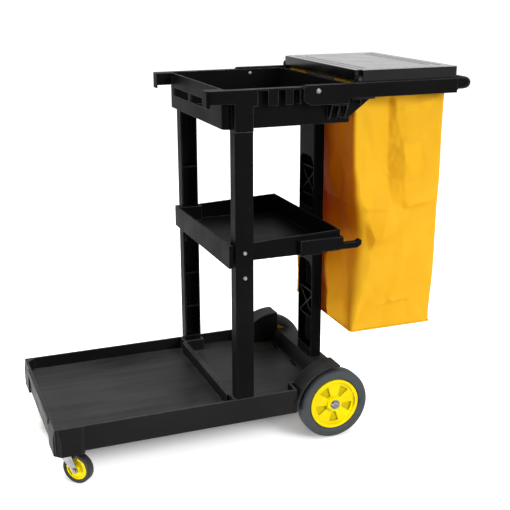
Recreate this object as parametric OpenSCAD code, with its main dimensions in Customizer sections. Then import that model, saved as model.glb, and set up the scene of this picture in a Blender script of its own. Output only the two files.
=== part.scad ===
// Janitor cart: a moulded base on two casters and two wheels, three posts, a middle shelf,
// a top tray, and a folding frame that carries a soft bag under a hinged lid.
// Lengths are in millimetres. +Z is up, +X runs from the base front to the handle,
// and the origin is on the floor under the middle of the cart.
// Inside the modules x is counted from just in front of the base.

/* [Overall] */
// Length from the front of the base to the back of the handle
overall_length = 1099; // [1094:1:1109]
// Height of the base rim above the floor
rim_z = 152; // [151:1:156]
// Height of the shelf rim above the floor
shelf_z = 551; // [530:1:580]
// Height of the tray rim above the floor
tray_z = 920; // [900:1:950]

/* [Base] */
// Outside width of the base between its side walls
base_width = 464; // [460:1:468]
// Height of the side walls
base_wall_h = 64; // [60:1:66]
// Depth of the pan below the rim
pan_depth = 33; // [28:1:36]
// Thickness of the base walls
base_wall = 5; // [4:0.5:6]
// Thickness of the pan floor
base_floor = 4; // [3:0.5:5]
// Front face of the corner blocks
block_front = 6; // [4:1:8]
// Front wall between the corner blocks
front_setback = 10; // [9:1:14]
// Length of a front corner block
block_length = 80; // [78:1:84]
// Drop of a corner block below the side walls
block_drop = 6; // [4:1:8]
// How far a corner block stands out past the side wall
block_proud = 6; // [4:1:8]
// Chamfer on the outer corner of a block
block_chamfer = 16; // [12:1:20]
// Back end of the axle beam
base_end_x = 792; // [790:1:798]

/* [Posts] */
// Size of a front post along the cart
post_length = 46; // [44:1:48]
// Size of a front post across the cart
post_depth = 37; // [35:1:40]
// Middle of the front posts along the cart
post_x = 488; // [486:1:490]
// Wall of the front post channel
post_wall = 3.5; // [3:0.5:4]
// Width of the rear post across the cart
rear_post_width = 96; // [90:1:104]
// Thickness of the rear post along the cart
rear_post_depth = 29; // [27:1:31]
// Front face of the rear post
rear_post_x = 752; // [751:0.5:754]

/* [Shelf and tray] */
// Height of the shelf side
shelf_height = 57; // [50:1:62]
// Depth of the shelf pan
shelf_pan = 41; // [34:1:46]
// How far the shelf sides stand in from the base sides
shelf_inset = 17; // [15:1:20]
// Wall of the shelf and tray
tray_wall = 4; // [3:0.5:5]
// Height of the tray side
tray_height = 92; // [86:1:98]
// How far the tray tub stands in from the base sides
tub_inset = 19; // [18:1:21]
// Height of the rim skirt
skirt_height = 39; // [34:1:42]
// How far the front horns reach past the tray
horn_reach = 43; // [36:1:48]

/* [Wheels] */
// Diameter of the rear wheels
wheel_diameter = 188; // [184:1:192]
// Width of the rear tyres
tyre_width = 40; // [36:1:42]
// Radius of the yellow wheel hub
hub_radius = 67; // [64:0.5:70]
// Position of the rear axle along the cart
wheel_x = 736; // [734:1:739]
// Diameter of the rear axle
axle_diameter = 12; // [10:0.5:14]
// Diameter of the caster wheels
caster_diameter = 75; // [70:1:78]
// Trail of the caster wheel behind its swivel
caster_trail = 28; // [24:1:32]
// Turn of the left caster as it stands
left_caster_turn = -45; // [-60:1:-30]
// Turn of the right caster as it stands
right_caster_turn = -45; // [-60:1:-30]

/* [Bag frame] */
// Thickness of a bag arm
arm_thickness = 18; // [16:1:18]
// Height of the arm behind the gusset
arm_height = 35; // [33:1:38]
// Position of the arm pivot along the cart
pivot_x = 672; // [670:1:674]
// Diameter of the pivot bolt
pivot_diameter = 8; // [7:0.5:9]
// Diameter of the handle tube
handle_diameter = 28; // [26:1:30]
// Diameter of the bag rods
rod_diameter = 8; // [7:0.5:9]
// Height of the bag
bag_height = 641; // [600:1:660]
// Thickness of the bag cloth
bag_wall = 2.5; // [2:0.5:3]
// Height of the lid skirt
lid_height = 28; // [26:1:30]
// Thickness of the lid
lid_wall = 3; // [2.5:0.5:4]
// Diameter of the lid hinge pins
hinge_diameter = 6; // [5:0.5:7]

/* [Hidden] */
$fn = 48;

// Cutting overlap, the three clearances, and the overlap that joins two runs of one piece
eps = 1;
seat_gap = 0.2;
run_gap = 0.06;
side_gap = 0.3;
join = 0.01;

// Colours
black = [0.12, 0.12, 0.12];
tyre_grey = [0.24, 0.25, 0.26];
bright_yellow = [0.96, 0.86, 0.04];
bag_yellow = [0.99, 0.72, 0.16];
zinc = [0.78, 0.79, 0.80];

// Base
base_half = base_width / 2;
base_low = rim_z - base_wall_h;
floor_z = rim_z - pan_depth;
floor_low = floor_z - base_floor;
block_low = base_low - block_drop;
block_half = base_half + block_proud;
block_width = 82;
block_inner = block_half - block_width;
block_taper = 10;
pan_chamfer = 22;
shoulder_drop = 26;
wheel_z = wheel_diameter / 2;
wheel_gap = 13;
arch_radius = wheel_z + wheel_gap;
arch_wall = 4;
arch_end = 10;
arch_proud = 8;
arch_half = base_half + arch_proud;
arch_x = wheel_x - arch_radius;
waist_inset = 45;
waist_half = base_half - waist_inset;
waist_inner = waist_half - base_wall;
pan_back_x = rear_post_x - 23;
beam_top_x = rear_post_x - 6;
beam_wall_low = rim_z - 40;
bulkhead_foot = 24;
divider_width = 12;
divider_drop = 2;
pad_length = post_length + 12;
pad_depth = post_depth + 6;
deck_rib = 4;
deck_rib_h = 22;
deck_rib_y = 80;
rim_band = 18;
rim_band_proud = 4;
slot_length = 48;
slot_width = 8;
slot_y = waist_half - 51;
bulkhead_y = 62;

// Posts
post_front = post_x - post_length / 2;
post_back = post_x + post_length / 2;
post_inner = base_half - post_depth;
spigot_length = 39;
spigot_depth = 26;
spigot_height = 44;
tray_low = tray_z - tray_height;
collar_drop = 5;
post_top = tray_low - collar_drop;
top_spigot_depth = 13;
top_spigot_y = base_half - 11;
post_corner = 3;
channel_foot = 14;
channel_head = 12;
rib_set = 4;
screw_radius = 2;
screw_head = 5.5;
screw_head_h = 3.5;
screw_head_taper = 1.5;
pilot_depth = 24;
screw_bite = 18;
side_bite = 7;
caster_bite = 10;
upper_screw_z = shelf_z - 19;
lower_screw_z = shelf_z - 82;
rear_post_back = rear_post_x + rear_post_depth;
rear_spigot_length = 18;
rear_spigot_width = 60;
rear_spigot_h = 32;
rear_screw_y = rear_spigot_width / 4;
rear_spigot_x = rear_post_x + 14;
tray_screw_x = rear_post_x + 8;
rear_post_corner = 4;
counterbore_x = rear_post_back - 4;
recess_wall = 5;
recess_depth = rear_post_depth - recess_wall;
recess_half = rear_post_width / 2 - recess_wall;
recess_radius = 26;
low_recess = [rim_z + 22, shelf_z - 127];
high_recess = [shelf_z + 22, tray_low - 115];
brace_width = 4;
brace_set = 6;
brace_rise = 34;

// Shelf
shelf_low = shelf_z - shelf_height;
shelf_floor = shelf_z - shelf_pan;
shelf_floor_t = 3;
shelf_front = post_front - 14;
shelf_back = rear_post_x - 3;
shelf_half = base_half - shelf_inset;
lip_half = base_half - 10;
lip_length = 11;
notch_gap = 3;
tab_gap = 0.5;
tab_low = shelf_low - 40;
tab_high = shelf_z - 4;
shelf_pad_inset = 8;
shelf_pad_high = shelf_z - 2;
shelf_rib = 3;
shelf_rib_h = 6;
shelf_under = shelf_floor - shelf_floor_t;
shelf_rise = 10;
hook_low = shelf_under + 1;
hook_high = shelf_z - 5;
hook_middle = (hook_low + hook_high) / 2;
hook_depth = 16;
hook_plate_end = rear_post_x - 1;
hook_start = hook_plate_end - 116;
hook_tip = hook_plate_end + 50;
hook_pad = 55;
hook_step = 6;
hook_bar = 15;
hook_toe = 11;
hook_lip = 4;
hook_screw_set = 22;
hook_wall = 4;
hook_screw_in = 10;

// Tray
tub_front = post_front - 22;
tub_back = rear_post_x + 19;
tray_floor_t = 4;
tub_radius = 12;
skirt_low = tray_z - skirt_height;
tub_half = base_half - tub_inset;
skirt_end = pivot_x - 40;
horn_width = 40;
horn_radius = 12;
horn_lip = 8;
front_slot_h = 22;
front_slot_z = tray_z - 59;
front_slot_length = 129;
front_slots = [-96, 52];
// Start of each rim slot behind the front post, and its length
rim_slots = [[11, 26], [62, 19], [100, 16]];
narrow_rim = base_half - 12;

// Bag arms
arm_outer = base_half + 8;
arm_inner = arm_outer - arm_thickness;
arm_top = tray_z + 4;
arm_low = arm_top - arm_height;
arm_deep = arm_low - 12;
arm_start = pivot_x - 38;
arm_slope = 18;
arm_nose = 8;
arm_step_x = rear_post_x;
arm_end = block_front + overall_length - 55;
pivot_z = tray_z - 10;
pivot_boss = 9.5;
pivot_head = 6.5;
pivot_head_h = 4;
pivot_head_taper = 3;
pivot_nut = 7.5;
pivot_nut_h = 6.5;
pivot_seat = tub_half - tray_wall / 2;
ledge_t = 4;
ledge_start = pivot_x + 36;
ledge_gap = 10;
gusset_reach = 70;
gusset_drop = 44;
gusset_web = 32;
gusset_foot = 8;
ledge_inset = 2;
fin_t = 3;
fin_foot = 6;
fin_pitch = 24;
rear_fin_h = 18;
pocket_depth = arm_thickness - 5;
arm_wall = 4;
pockets = 3;
pocket_start = rear_post_back + 33;
pocket_end = arm_end - 50;
rod_z = arm_top - 6;
front_rod_x = rear_post_back + 12;
rear_rod_x = arm_end - 14;
rod_reach = arm_inner + 12;
handle_z = arm_top - handle_diameter / 2;
handle_y = arm_outer - handle_diameter / 2;
handle_bend = 24;
handle_x = block_front + overall_length - handle_diameter / 2;
tongue_length = 30;
tongue_height = 11;
tongue_width = 8;
tongue_z = arm_low + 6;
tongue_y = arm_inner + 9;
tongue_root = 6;
handle_screw_x = arm_end - 20;
handle_bite = 12;

// Lid
hinge_x = rear_post_back + 5;
hinge_z = arm_top + 7;
lug_radius = 8;
lug_inner = arm_inner - 9;
lug_outer = arm_inner + 3;
lid_front = hinge_x - 7;
lid_ear_end = hinge_x + 9;
lid_back = arm_end + 10;
lid_half = arm_inner + 3;
lid_ear_half = lug_inner - 0.5;
lid_boss = 6;
lid_boss_w = 9;
pin_in = 8;
pin_head = 1.5;
pin_head_h = 2.5;
lid_low = arm_top + side_gap;
lid_top = arm_top + lid_height;
lid_radius = 10;
lid_front_low = arm_top + 4;
lid_rib = 1;
lid_rib_w = 5;
lid_rib_insets = [22, 44];

// Bag
bag_top = rod_z - 4;
bag_low = bag_top - bag_height;
hem_radius = rod_diameter / 2 + 2.5;
hem_slit = 84;
hem_slit_low = rod_z - 3;
hem_slit_high = rod_z + 3.5;
hem_half = base_half - 34;
slice = 0.01;
// Height, front, back and half width of the bag at three levels
bag_levels = [
    [bag_low, front_rod_x + 8, rear_rod_x, base_half - 41],
    [bag_low + bag_height / 2, front_rod_x - 5, rear_rod_x + 4, base_half - 31],
    [bag_top, front_rod_x - hem_radius, rear_rod_x + hem_radius, base_half - 29]
];
bag_radius = 26;

// Rear wheels
wheel_y = base_half - 16;
hub_half = 20;
rim_half = 17;
rim_inner = hub_radius - 8;
hub_boss = 19;
web_low = 3;
web_high = 7;
face_high = 12;
spokes = 5;
pocket_in = 23;
pocket_out = rim_inner - 8;
pocket_nose = 5;
pocket_half = 16;
tyre_shoulder = 11;
washer_t = 1.6;
washer_radius = 13;
axle_half = wheel_y + hub_half + washer_t + 2 * seat_gap + 2;
cap_radius = 10.5;
cap_end = axle_half + 7.1;
cap_edge = 2;
cap_round = 3;
axle_boss = 14;
axle_boss_in = waist_half - 16;
axle_boss_out = waist_half + 3;
hub_inward = wheel_y - axle_boss_out - washer_t - 2 * seat_gap;

// Casters
caster_x = block_front + 38;
caster_y = base_half - 38;
caster_r = caster_diameter / 2;
caster_top = block_low + 12;
pocket_size = 58;
plate_size = 54;
plate_t = 3;
plate_radius = 8;
plate_hole = 20;
race_radius = 17;
race_h = 6;
crown_radius = 19;
crown_t = 3;
crown_gap = 0.3;
crown_top = caster_top - plate_t - race_h - crown_gap;
kingpin_radius = 5;
kingpin_head = 9;
kingpin_head_h = 3;
kingpin_top = caster_top - 0.5;
fork_gap = 15;
fork_t = 2.5;
fork_foot = 9;
leg_inset = 5;
leg_flare = 3;
leg_neck = 14;
crown_edge = 2;
caster_width = 24;
caster_hub_r = 28;
caster_bolt_r = 3;
caster_head_r = 5.5;
caster_head_h = 4;
caster_bolt_end = 5;
caster_rim = 4;
caster_hub_step = 3;
caster_dish = 6;
caster_boss = 11;
caster_round = 4;

module from_front() {
    translate([-block_front - overall_length / 2, 0, 0]) children();
}

module to_side(side) {
    mirror([0, side > 0 ? 0 : 1, 0]) children();
}

module both_sides() {
    to_side(1) children();
    to_side(-1) children();
}

// A block from its low corner to its high corner
module block(low, high) {
    translate(low) cube(high - low);
}

// A plan outline raised between two heights
module raised(low, high) {
    translate([0, 0, low]) linear_extrude(high - low) children();
}

// A side outline, drawn in x and z, spread between two y values
module spread(low, high) {
    translate([0, high, 0]) rotate([90, 0, 0]) linear_extrude(high - low) children();
}

// A round bar along y
module bar_y(x, z, radius, low, high) {
    translate([x, low, z]) rotate([-90, 0, 0]) cylinder(r = radius, h = high - low);
}

// A round bar along x
module bar_x(y, z, radius, low, high) {
    translate([low, y, z]) rotate([0, 90, 0]) cylinder(r = radius, h = high - low);
}

module round_rect(length, width, radius) {
    square([length, width - 2 * radius], center = true);
    square([length - 2 * radius, width], center = true);
    for (x = [-1, 1], y = [-1, 1])
        translate([x * (length / 2 - radius), y * (width / 2 - radius)]) circle(radius);
}

module round_rect_between(x1, x2, half, radius) {
    translate([(x1 + x2) / 2, 0]) round_rect(x2 - x1, 2 * half, radius);
}

// Pan head screw along +z with its head under z = 0
module screw(length) {
    cylinder(r = screw_radius, h = length);
    translate([0, 0, -screw_head_h]) cylinder(r1 = screw_head - screw_head_taper, r2 = screw_head, h = screw_head_h);
}

// Countersunk screw along +z with the flat of its head at z = 0
module flat_screw(length) {
    cylinder(r = screw_radius, h = length);
    cylinder(r1 = screw_head, r2 = screw_radius, h = screw_head - screw_radius);
}

// Hole for a countersunk screw that runs down from z = 0
module flat_screw_hole(depth) {
    cone = screw_head - screw_radius;
    wide = screw_radius + 2 * seat_gap;
    translate([0, 0, -depth]) cylinder(r = screw_radius, h = depth);
    translate([0, 0, -cone]) cylinder(r1 = wide, r2 = wide + cone + eps, h = cone + eps);
}

// BASE

module base_outline() {
    polygon([
        [front_setback, -base_half], [front_setback, base_half],
        [arch_x, base_half], [arch_x, waist_half],
        [base_end_x, waist_half], [base_end_x, -waist_half],
        [arch_x, -waist_half], [arch_x, -base_half]
    ]);
}

module pan_outline() {
    inner = base_half - base_wall;
    waist = waist_half - base_wall;
    start = front_setback + base_wall;
    polygon([
        [start, -inner + pan_chamfer], [start, inner - pan_chamfer],
        [start + pan_chamfer, inner], [arch_x - base_wall, inner],
        [arch_x - base_wall, waist], [base_end_x - base_wall, waist],
        [base_end_x - base_wall, -waist], [arch_x - base_wall, -waist],
        [arch_x - base_wall, -inner], [start + pan_chamfer, -inner]
    ]);
}

module under_outline() {
    inner = base_half - base_wall;
    waist = waist_half - base_wall;
    start = front_setback + base_wall;
    polygon([
        [start, -block_inner], [start, block_inner],
        [block_length + base_wall, block_inner], [block_length + base_wall, inner],
        [arch_x - base_wall, inner], [arch_x - base_wall, waist],
        [base_end_x - base_wall, waist], [base_end_x - base_wall, -waist],
        [arch_x - base_wall, -waist], [arch_x - base_wall, -inner],
        [block_length + base_wall, -inner], [block_length + base_wall, -block_inner]
    ]);
}

module block_outline() {
    polygon([
        [block_front, block_inner], [block_front, block_half - block_chamfer],
        [block_front + block_chamfer, block_half], [block_length - block_taper, block_half],
        [block_length, base_half - eps], [block_length, block_inner]
    ]);
}

// The block stands proud of the walls under a sloping shoulder, at its side and at its front
module corner_block() {
    shoulder_z = rim_z - shoulder_drop;
    intersection() {
        raised(block_low, rim_z) block_outline();
        pushed(0, 2 * block_length) polygon([
            [0, block_low], [block_half, block_low], [block_half, shoulder_z],
            [base_half, rim_z], [0, rim_z]
        ]);
        spread(0, 2 * block_half) polygon([
            [block_front, block_low], [2 * block_length, block_low], [2 * block_length, rim_z],
            [front_setback, rim_z], [block_front, shoulder_z]
        ]);
    }
}

module arch_outline() {
    difference() {
        circle(arch_radius + arch_wall);
        circle(arch_radius);
        translate([arch_end, -2 * arch_radius]) square(4 * arch_radius);
        translate([-2 * arch_radius, -4 * arch_radius]) square(4 * arch_radius);
    }
}

module arch_side_outline() {
    intersection() {
        circle(arch_radius + arch_wall / 2);
        translate([-2 * arch_radius, 0]) square([2 * arch_radius + arch_end, 2 * arch_radius]);
    }
}

module wheel_arch() {
    translate([wheel_x, 0, wheel_z]) spread(waist_half - base_wall, arch_half) arch_outline();
    translate([wheel_x, 0, wheel_z]) spread(waist_half - base_wall, waist_half) arch_side_outline();
    bar_y(wheel_x, wheel_z, axle_boss, axle_boss_in, axle_boss_out);
}

// Sloped back wall of the pan, top of the axle beam and its rear wall, as one bent sheet
module beam_outline() {
    polygon([
        [pan_back_x - base_wall, floor_low], [pan_back_x, floor_low], [pan_back_x + base_wall, floor_z],
        [beam_top_x + base_wall, rim_z - base_wall], [base_end_x - base_wall, rim_z - base_wall],
        [base_end_x - base_wall, beam_wall_low], [base_end_x, beam_wall_low],
        [base_end_x, rim_z], [beam_top_x, rim_z]
    ]);
}

// Plate under the beam that carries the axle
module bulkhead_outline() {
    half = base_wall / 2;
    foot = wheel_z - axle_boss;
    polygon([
        [wheel_x - bulkhead_foot, foot], [wheel_x + bulkhead_foot, foot],
        [base_end_x - half, beam_wall_low + half], [base_end_x - half, rim_z - half],
        [beam_top_x + half, rim_z - half], [pan_back_x - half, floor_low + eps],
        [wheel_x - bulkhead_foot, floor_low + eps]
    ]);
}

module deck_ribs() {
    low = floor_low - deck_rib_h;
    inner = base_half - base_wall / 2;
    bay = (post_front - block_length) / 3;
    both_sides()
        block([block_length, deck_rib_y, low], [pan_back_x, deck_rib_y + deck_rib, floor_low + eps]);
    for (x = [block_length + bay, block_length + 2 * bay, post_back + bay / 2])
        block([x, -inner, low], [x + deck_rib, inner, floor_low + eps]);
    both_sides() spread(bulkhead_y, bulkhead_y + deck_rib) bulkhead_outline();
}

module post_pad() {
    half = pad_length / 2;
    block([post_x - half, base_half - pad_depth, base_low], [post_x + half, base_half, rim_z]);
}

module post_socket() {
    half = spigot_length / 2 + seat_gap;
    y = base_half - post_depth / 2;
    deep = spigot_depth / 2 + seat_gap;
    low = rim_z - spigot_height - seat_gap;
    block([post_x - half, y - deep, low], [post_x + half, y + deep, rim_z + eps]);
    translate([post_x, y, base_low - eps]) cylinder(r = screw_radius, h = base_wall_h);
}

module rear_socket_box() {
    half = rear_spigot_length / 2 + base_wall;
    wide = rear_spigot_width / 2 + base_wall;
    block(
        [rear_spigot_x - half, -wide, rim_z - rear_spigot_h - base_wall],
        [rear_spigot_x + half, wide, rim_z - base_wall / 2]
    );
}

module rear_socket() {
    half = rear_spigot_length / 2 + seat_gap;
    wide = rear_spigot_width / 2 + seat_gap;
    block(
        [rear_spigot_x - half, -wide, rim_z - rear_spigot_h - seat_gap],
        [rear_spigot_x + half, wide, rim_z + eps]
    );
    for (y = [-1, 1])
        translate([rear_spigot_x, y * rear_screw_y, base_low]) cylinder(r = screw_radius, h = base_wall_h);
}

module caster_pocket() {
    translate([caster_x, caster_y, block_low - eps])
        linear_extrude(caster_top - block_low + eps) round_rect(pocket_size, pocket_size, plate_radius);
    for (x = [-1, 1], y = [-1, 1])
        translate([caster_x + x * plate_hole, caster_y + y * plate_hole, caster_top - eps])
            cylinder(r = screw_radius, h = caster_bite + 2 * eps);
}

module base_platform() {
    color(black) from_front() difference() {
        union() {
            difference() {
                union() {
                    raised(base_low, rim_z) base_outline();
                    both_sides() corner_block();
                    block(
                        [front_setback - rim_band_proud, -block_inner, rim_z - rim_band],
                        [front_setback + eps, block_inner, rim_z]
                    );
                }
                raised(floor_z, rim_z + eps) pan_outline();
                raised(block_low - eps, floor_low) under_outline();
                block(
                    [pan_back_x, -waist_inner, floor_low - eps],
                    [base_end_x - base_wall, waist_inner, rim_z]
                );
                block(
                    [pan_back_x, -waist_inner, base_low - eps],
                    [base_end_x + eps, waist_inner, beam_wall_low]
                );
            }
            both_sides() wheel_arch();
            both_sides() post_pad();
            block(
                [post_front - divider_width, -base_half + pad_depth - eps, floor_low],
                [post_front, base_half - pad_depth + eps, rim_z - divider_drop]
            );
            spread(-waist_half + base_wall / 2, waist_half - base_wall / 2) beam_outline();
            deck_ribs();
            rear_socket_box();
        }
        both_sides() post_socket();
        rear_socket();
        both_sides() caster_pocket();
        bar_y(wheel_x, wheel_z, axle_diameter / 2 + run_gap, -base_half, base_half);
        for (y = [-slot_y, 0, slot_y])
            block(
                [pan_back_x - base_wall - slot_width, y - slot_length / 2, floor_low - eps],
                [pan_back_x - base_wall, y + slot_length / 2, floor_z + eps]
            );
    }
}

// POSTS

module front_post(side) {
    y = base_half - post_depth / 2;
    low_bay = (tab_low - rim_z) / 3;
    high_bay = (post_top - shelf_z) / 5;
    color(black) from_front() to_side(side) difference() {
        union() {
            translate([post_x, y, rim_z])
                linear_extrude(post_top - rim_z) round_rect(post_length, post_depth, post_corner);
            translate([post_x, y, rim_z - spigot_height + eps])
                linear_extrude(spigot_height) square([spigot_length, spigot_depth], center = true);
            translate([post_x, top_spigot_y, post_top - eps])
                linear_extrude(spigot_height) square([spigot_length, top_spigot_depth], center = true);
        }
        difference() {
            block(
                [post_front + post_wall, post_inner - eps, rim_z + channel_foot],
                [post_back - post_wall, base_half - post_wall, post_top - channel_head]
            );
            for (z = [rim_z + low_bay, rim_z + 2 * low_bay, shelf_z + 2 * high_bay])
                block([post_front, post_inner + rib_set, z], [post_back, base_half, z + post_wall]);
        }
        for (z = [lower_screw_z, upper_screw_z])
            bar_y(post_x, z, screw_radius, base_half - 2 * post_wall, base_half + eps);
        translate([post_x, y, rim_z - spigot_height]) cylinder(r = screw_radius, h = pilot_depth);
    }
}

module left_front_post() {
    front_post(-1);
}

module right_front_post() {
    front_post(1);
}

module recess_outline(range) {
    translate([-recess_half, range[0]]) square([2 * recess_half, range[1] - range[0] - recess_radius]);
    translate([-recess_half + recess_radius, range[0]])
        square([2 * (recess_half - recess_radius), range[1] - range[0]]);
    for (y = [-1, 1])
        translate([y * (recess_half - recess_radius), range[1] - recess_radius]) circle(recess_radius);
}

// The outline drawn in y and z, pushed along x
module pushed(low, high) {
    translate([low, 0, 0]) rotate([90, 0, 90]) linear_extrude(high - low) children();
}

module brace(middle) {
    turn = atan(recess_half / brace_rise);
    bar_z = brace_rise + brace_width;
    for (s = [-1, 1])
        translate([rear_post_x + brace_set, 0, middle]) rotate([s * turn, 0, 0])
            translate([0, -brace_width / 2, -2 * recess_half])
                cube([recess_depth, brace_width, 4 * recess_half]);
    for (s = [-1, 1])
        block(
            [rear_post_x + brace_set, -2 * recess_half, middle + s * bar_z - brace_width / 2],
            [rear_post_back, 2 * recess_half, middle + s * bar_z + brace_width / 2]
        );
}

module recess(range) {
    middle = (range[0] + range[1]) / 2;
    reach = brace_rise + 1.5 * brace_width;
    difference() {
        pushed(rear_post_x - eps, rear_post_x + recess_depth) recess_outline(range);
        intersection() {
            brace(middle);
            block(
                [rear_post_x, -recess_half - eps, middle - reach],
                [rear_post_back, recess_half + eps, middle + reach]
            );
        }
    }
}

module rear_post() {
    color(black) from_front() difference() {
        union() {
            translate([rear_post_x + rear_post_depth / 2, 0, rim_z])
                linear_extrude(tray_low - rim_z)
                    round_rect(rear_post_depth, rear_post_width, rear_post_corner);
            translate([rear_spigot_x, 0, rim_z - rear_spigot_h])
                linear_extrude(rear_spigot_h + eps)
                    square([rear_spigot_length, rear_spigot_width], center = true);
        }
        recess(low_recess);
        recess(high_recess);
        for (y = [-1, 1]) {
            translate([rear_spigot_x, y * rear_screw_y, rim_z - rear_spigot_h - eps])
                cylinder(r = screw_radius, h = pilot_depth);
            translate([tray_screw_x, y * rear_screw_y, tray_low - pilot_depth])
                cylinder(r = screw_radius, h = pilot_depth + eps);
            bar_x(y * rear_screw_y, upper_screw_z, screw_radius, rear_post_x - eps, rear_post_back + eps);
            bar_x(y * rear_screw_y, upper_screw_z, screw_head + seat_gap, counterbore_x, rear_post_back);
        }
    }
}

// SHELF

module shelf_outline() {
    notch_back = post_back + notch_gap;
    notch_front = shelf_front + lip_length;
    notch = post_inner - notch_gap;
    polygon([
        [shelf_front, -lip_half], [shelf_front, lip_half], [notch_front, lip_half], [notch_front, notch],
        [notch_back, notch], [notch_back, shelf_half], [shelf_back, shelf_half],
        [shelf_back, -shelf_half], [notch_back, -shelf_half], [notch_back, -notch],
        [notch_front, -notch], [notch_front, -lip_half]
    ]);
}

module shelf_inside() {
    notch_back = post_back + notch_gap + tray_wall;
    notch = post_inner - notch_gap - tray_wall;
    inner = shelf_half - tray_wall;
    polygon([
        [shelf_front + tray_wall, -notch], [shelf_front + tray_wall, notch], [notch_back, notch],
        [notch_back, inner], [shelf_back - tray_wall, inner],
        [shelf_back - tray_wall, -inner], [notch_back, -inner], [notch_back, -notch]
    ]);
}

// What is cut away over the rim, which rises from the front posts to the back
module above_rim() {
    over = shelf_z + 2 * shelf_rise;
    polygon([
        [0, shelf_z], [post_back + notch_gap, shelf_z], [shelf_back - tray_wall, shelf_z + shelf_rise],
        [shelf_back + tray_wall, shelf_z + shelf_rise], [shelf_back + tray_wall, over], [0, over]
    ]);
}

// A tab of the shelf that sits in the channel of a front post and takes its two screws
module shelf_tab() {
    front = post_front + post_wall + tab_gap;
    back = post_back - post_wall - tab_gap;
    outer = base_half - post_wall - seat_gap;
    inner = post_inner - notch_gap - tray_wall;
    difference() {
        block([front, inner, tab_low], [back, outer, tab_high]);
        block(
            [front + tray_wall, inner - eps, tab_low - eps],
            [back - tray_wall, outer - 2 * tray_wall, shelf_low - tray_wall / 2]
        );
        for (z = [lower_screw_z, upper_screw_z])
            bar_y(post_x, z, screw_radius, outer - 2 * tray_wall - eps, outer + eps);
    }
}

module middle_shelf() {
    pad = rear_post_width / 2 - shelf_pad_inset;
    color(black) from_front() difference() {
        union() {
            difference() {
                raised(shelf_low, shelf_z + shelf_rise) shelf_outline();
                raised(shelf_floor, shelf_z + shelf_rise + eps) shelf_inside();
                raised(shelf_low - eps, shelf_under) shelf_inside();
                spread(-2 * shelf_half, 2 * shelf_half) above_rim();
                block(
                    [post_back + notch_gap, -2 * shelf_half, shelf_low - eps],
                    [shelf_back + eps, 2 * shelf_half, shelf_under]
                );
            }
            both_sides() shelf_tab();
            block(
                [shelf_back - eps, -pad, shelf_under],
                [rear_post_x - seat_gap, pad, shelf_pad_high]
            );
            for (y = [-shelf_half / 3, shelf_half / 3])
                block(
                    [shelf_front + eps, y, shelf_under - shelf_rib_h],
                    [shelf_back - eps, y + shelf_rib, shelf_floor - eps]
                );
        }
        for (y = [-1, 1])
            bar_x(y * rear_screw_y, upper_screw_z, screw_radius, shelf_back - tray_wall + eps, rear_post_x);
        for (x = hook_holes())
            bar_y(x, hook_middle, screw_radius, -shelf_half - eps, -shelf_half + 2 * tray_wall);
    }
}

function hook_holes() = [hook_start + hook_screw_set, hook_plate_end - hook_screw_set];

module hook_outline() {
    bar_low = hook_low + hook_step;
    bar_high = bar_low + hook_bar;
    lip_high = bar_high + hook_lip;
    polygon([
        [hook_start, hook_low], [hook_start + hook_pad, hook_low],
        [hook_start + hook_pad + hook_lip, bar_low], [hook_tip - hook_toe, bar_low],
        [hook_tip, bar_low + hook_bar / 2], [hook_tip, lip_high], [hook_tip - hook_step, lip_high],
        [hook_tip - 2 * hook_step, bar_high], [hook_plate_end + hook_lip, bar_high],
        [hook_plate_end, lip_high], [hook_plate_end, hook_high], [hook_start, hook_high]
    ]);
}

module shelf_tool_hook() {
    inner = shelf_half + seat_gap;
    outer = inner + hook_depth;
    color(black) from_front() to_side(-1) difference() {
        spread(inner, outer) hook_outline();
        block(
            [hook_start + 2 * hook_screw_set, inner - eps, hook_low + hook_step + hook_wall],
            [hook_plate_end - 2 * hook_screw_set, outer - hook_wall, hook_high - hook_wall]
        );
        for (x = hook_holes())
            bar_y(x, hook_middle, screw_radius, inner - eps, inner + hook_screw_in + eps);
    }
}

// TRAY

module tub_outline(inset) {
    round_rect_between(tub_front + inset, tub_back - inset, tub_half - inset, tub_radius - inset);
}

module horn_outline(inset) {
    tip = tub_front - horn_reach;
    outer = base_half;
    inner = outer - horn_width;
    translate([tip + horn_radius, inner + inset])
        square([tub_front + tub_radius - tip - horn_radius, horn_width - 2 * inset]);
    translate([tip + inset, inner + inset])
        square([tub_front + tub_radius - tip - inset, horn_width - horn_radius - inset]);
    translate([tip + horn_radius, outer - horn_radius]) circle(horn_radius - inset);
}

module horn() {
    tip = tub_front - horn_reach;
    outer = base_half;
    difference() {
        raised(skirt_low, tray_z) horn_outline(0);
        raised(skirt_low - eps, tray_z - tray_wall) horn_outline(tray_wall);
        block(
            [tip - eps, outer - horn_width - eps, skirt_low - eps],
            [tub_front + 2 * tub_radius, outer - horn_width + tray_wall + eps, skirt_low + horn_lip]
        );
        block(
            [tip + 2 * tray_wall, outer - 2 * tray_wall, skirt_low - eps],
            [tub_front + 2 * tub_radius, outer + eps, skirt_low + horn_lip]
        );
    }
}

module rim_side() {
    block([tub_front, tub_half - tray_wall, tray_z - tray_wall], [skirt_end, base_half, tray_z]);
    block(
        [skirt_end - eps, tub_half - tray_wall, tray_z - tray_wall],
        [tub_back - tub_radius, narrow_rim, tray_z]
    );
    block([tub_front, base_half - tray_wall, skirt_low + horn_lip], [post_x, base_half, tray_z]);
    block([post_x, base_half - tray_wall, skirt_low], [skirt_end, base_half, tray_z]);
    block([skirt_end - tray_wall, tub_half - eps, skirt_low], [skirt_end, base_half, tray_z]);
}

module rim_slot(start, length) {
    block(
        [start, base_half - tray_wall - eps, skirt_low - eps],
        [start + length, base_half + eps, tray_z - tray_wall]
    );
}

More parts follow.
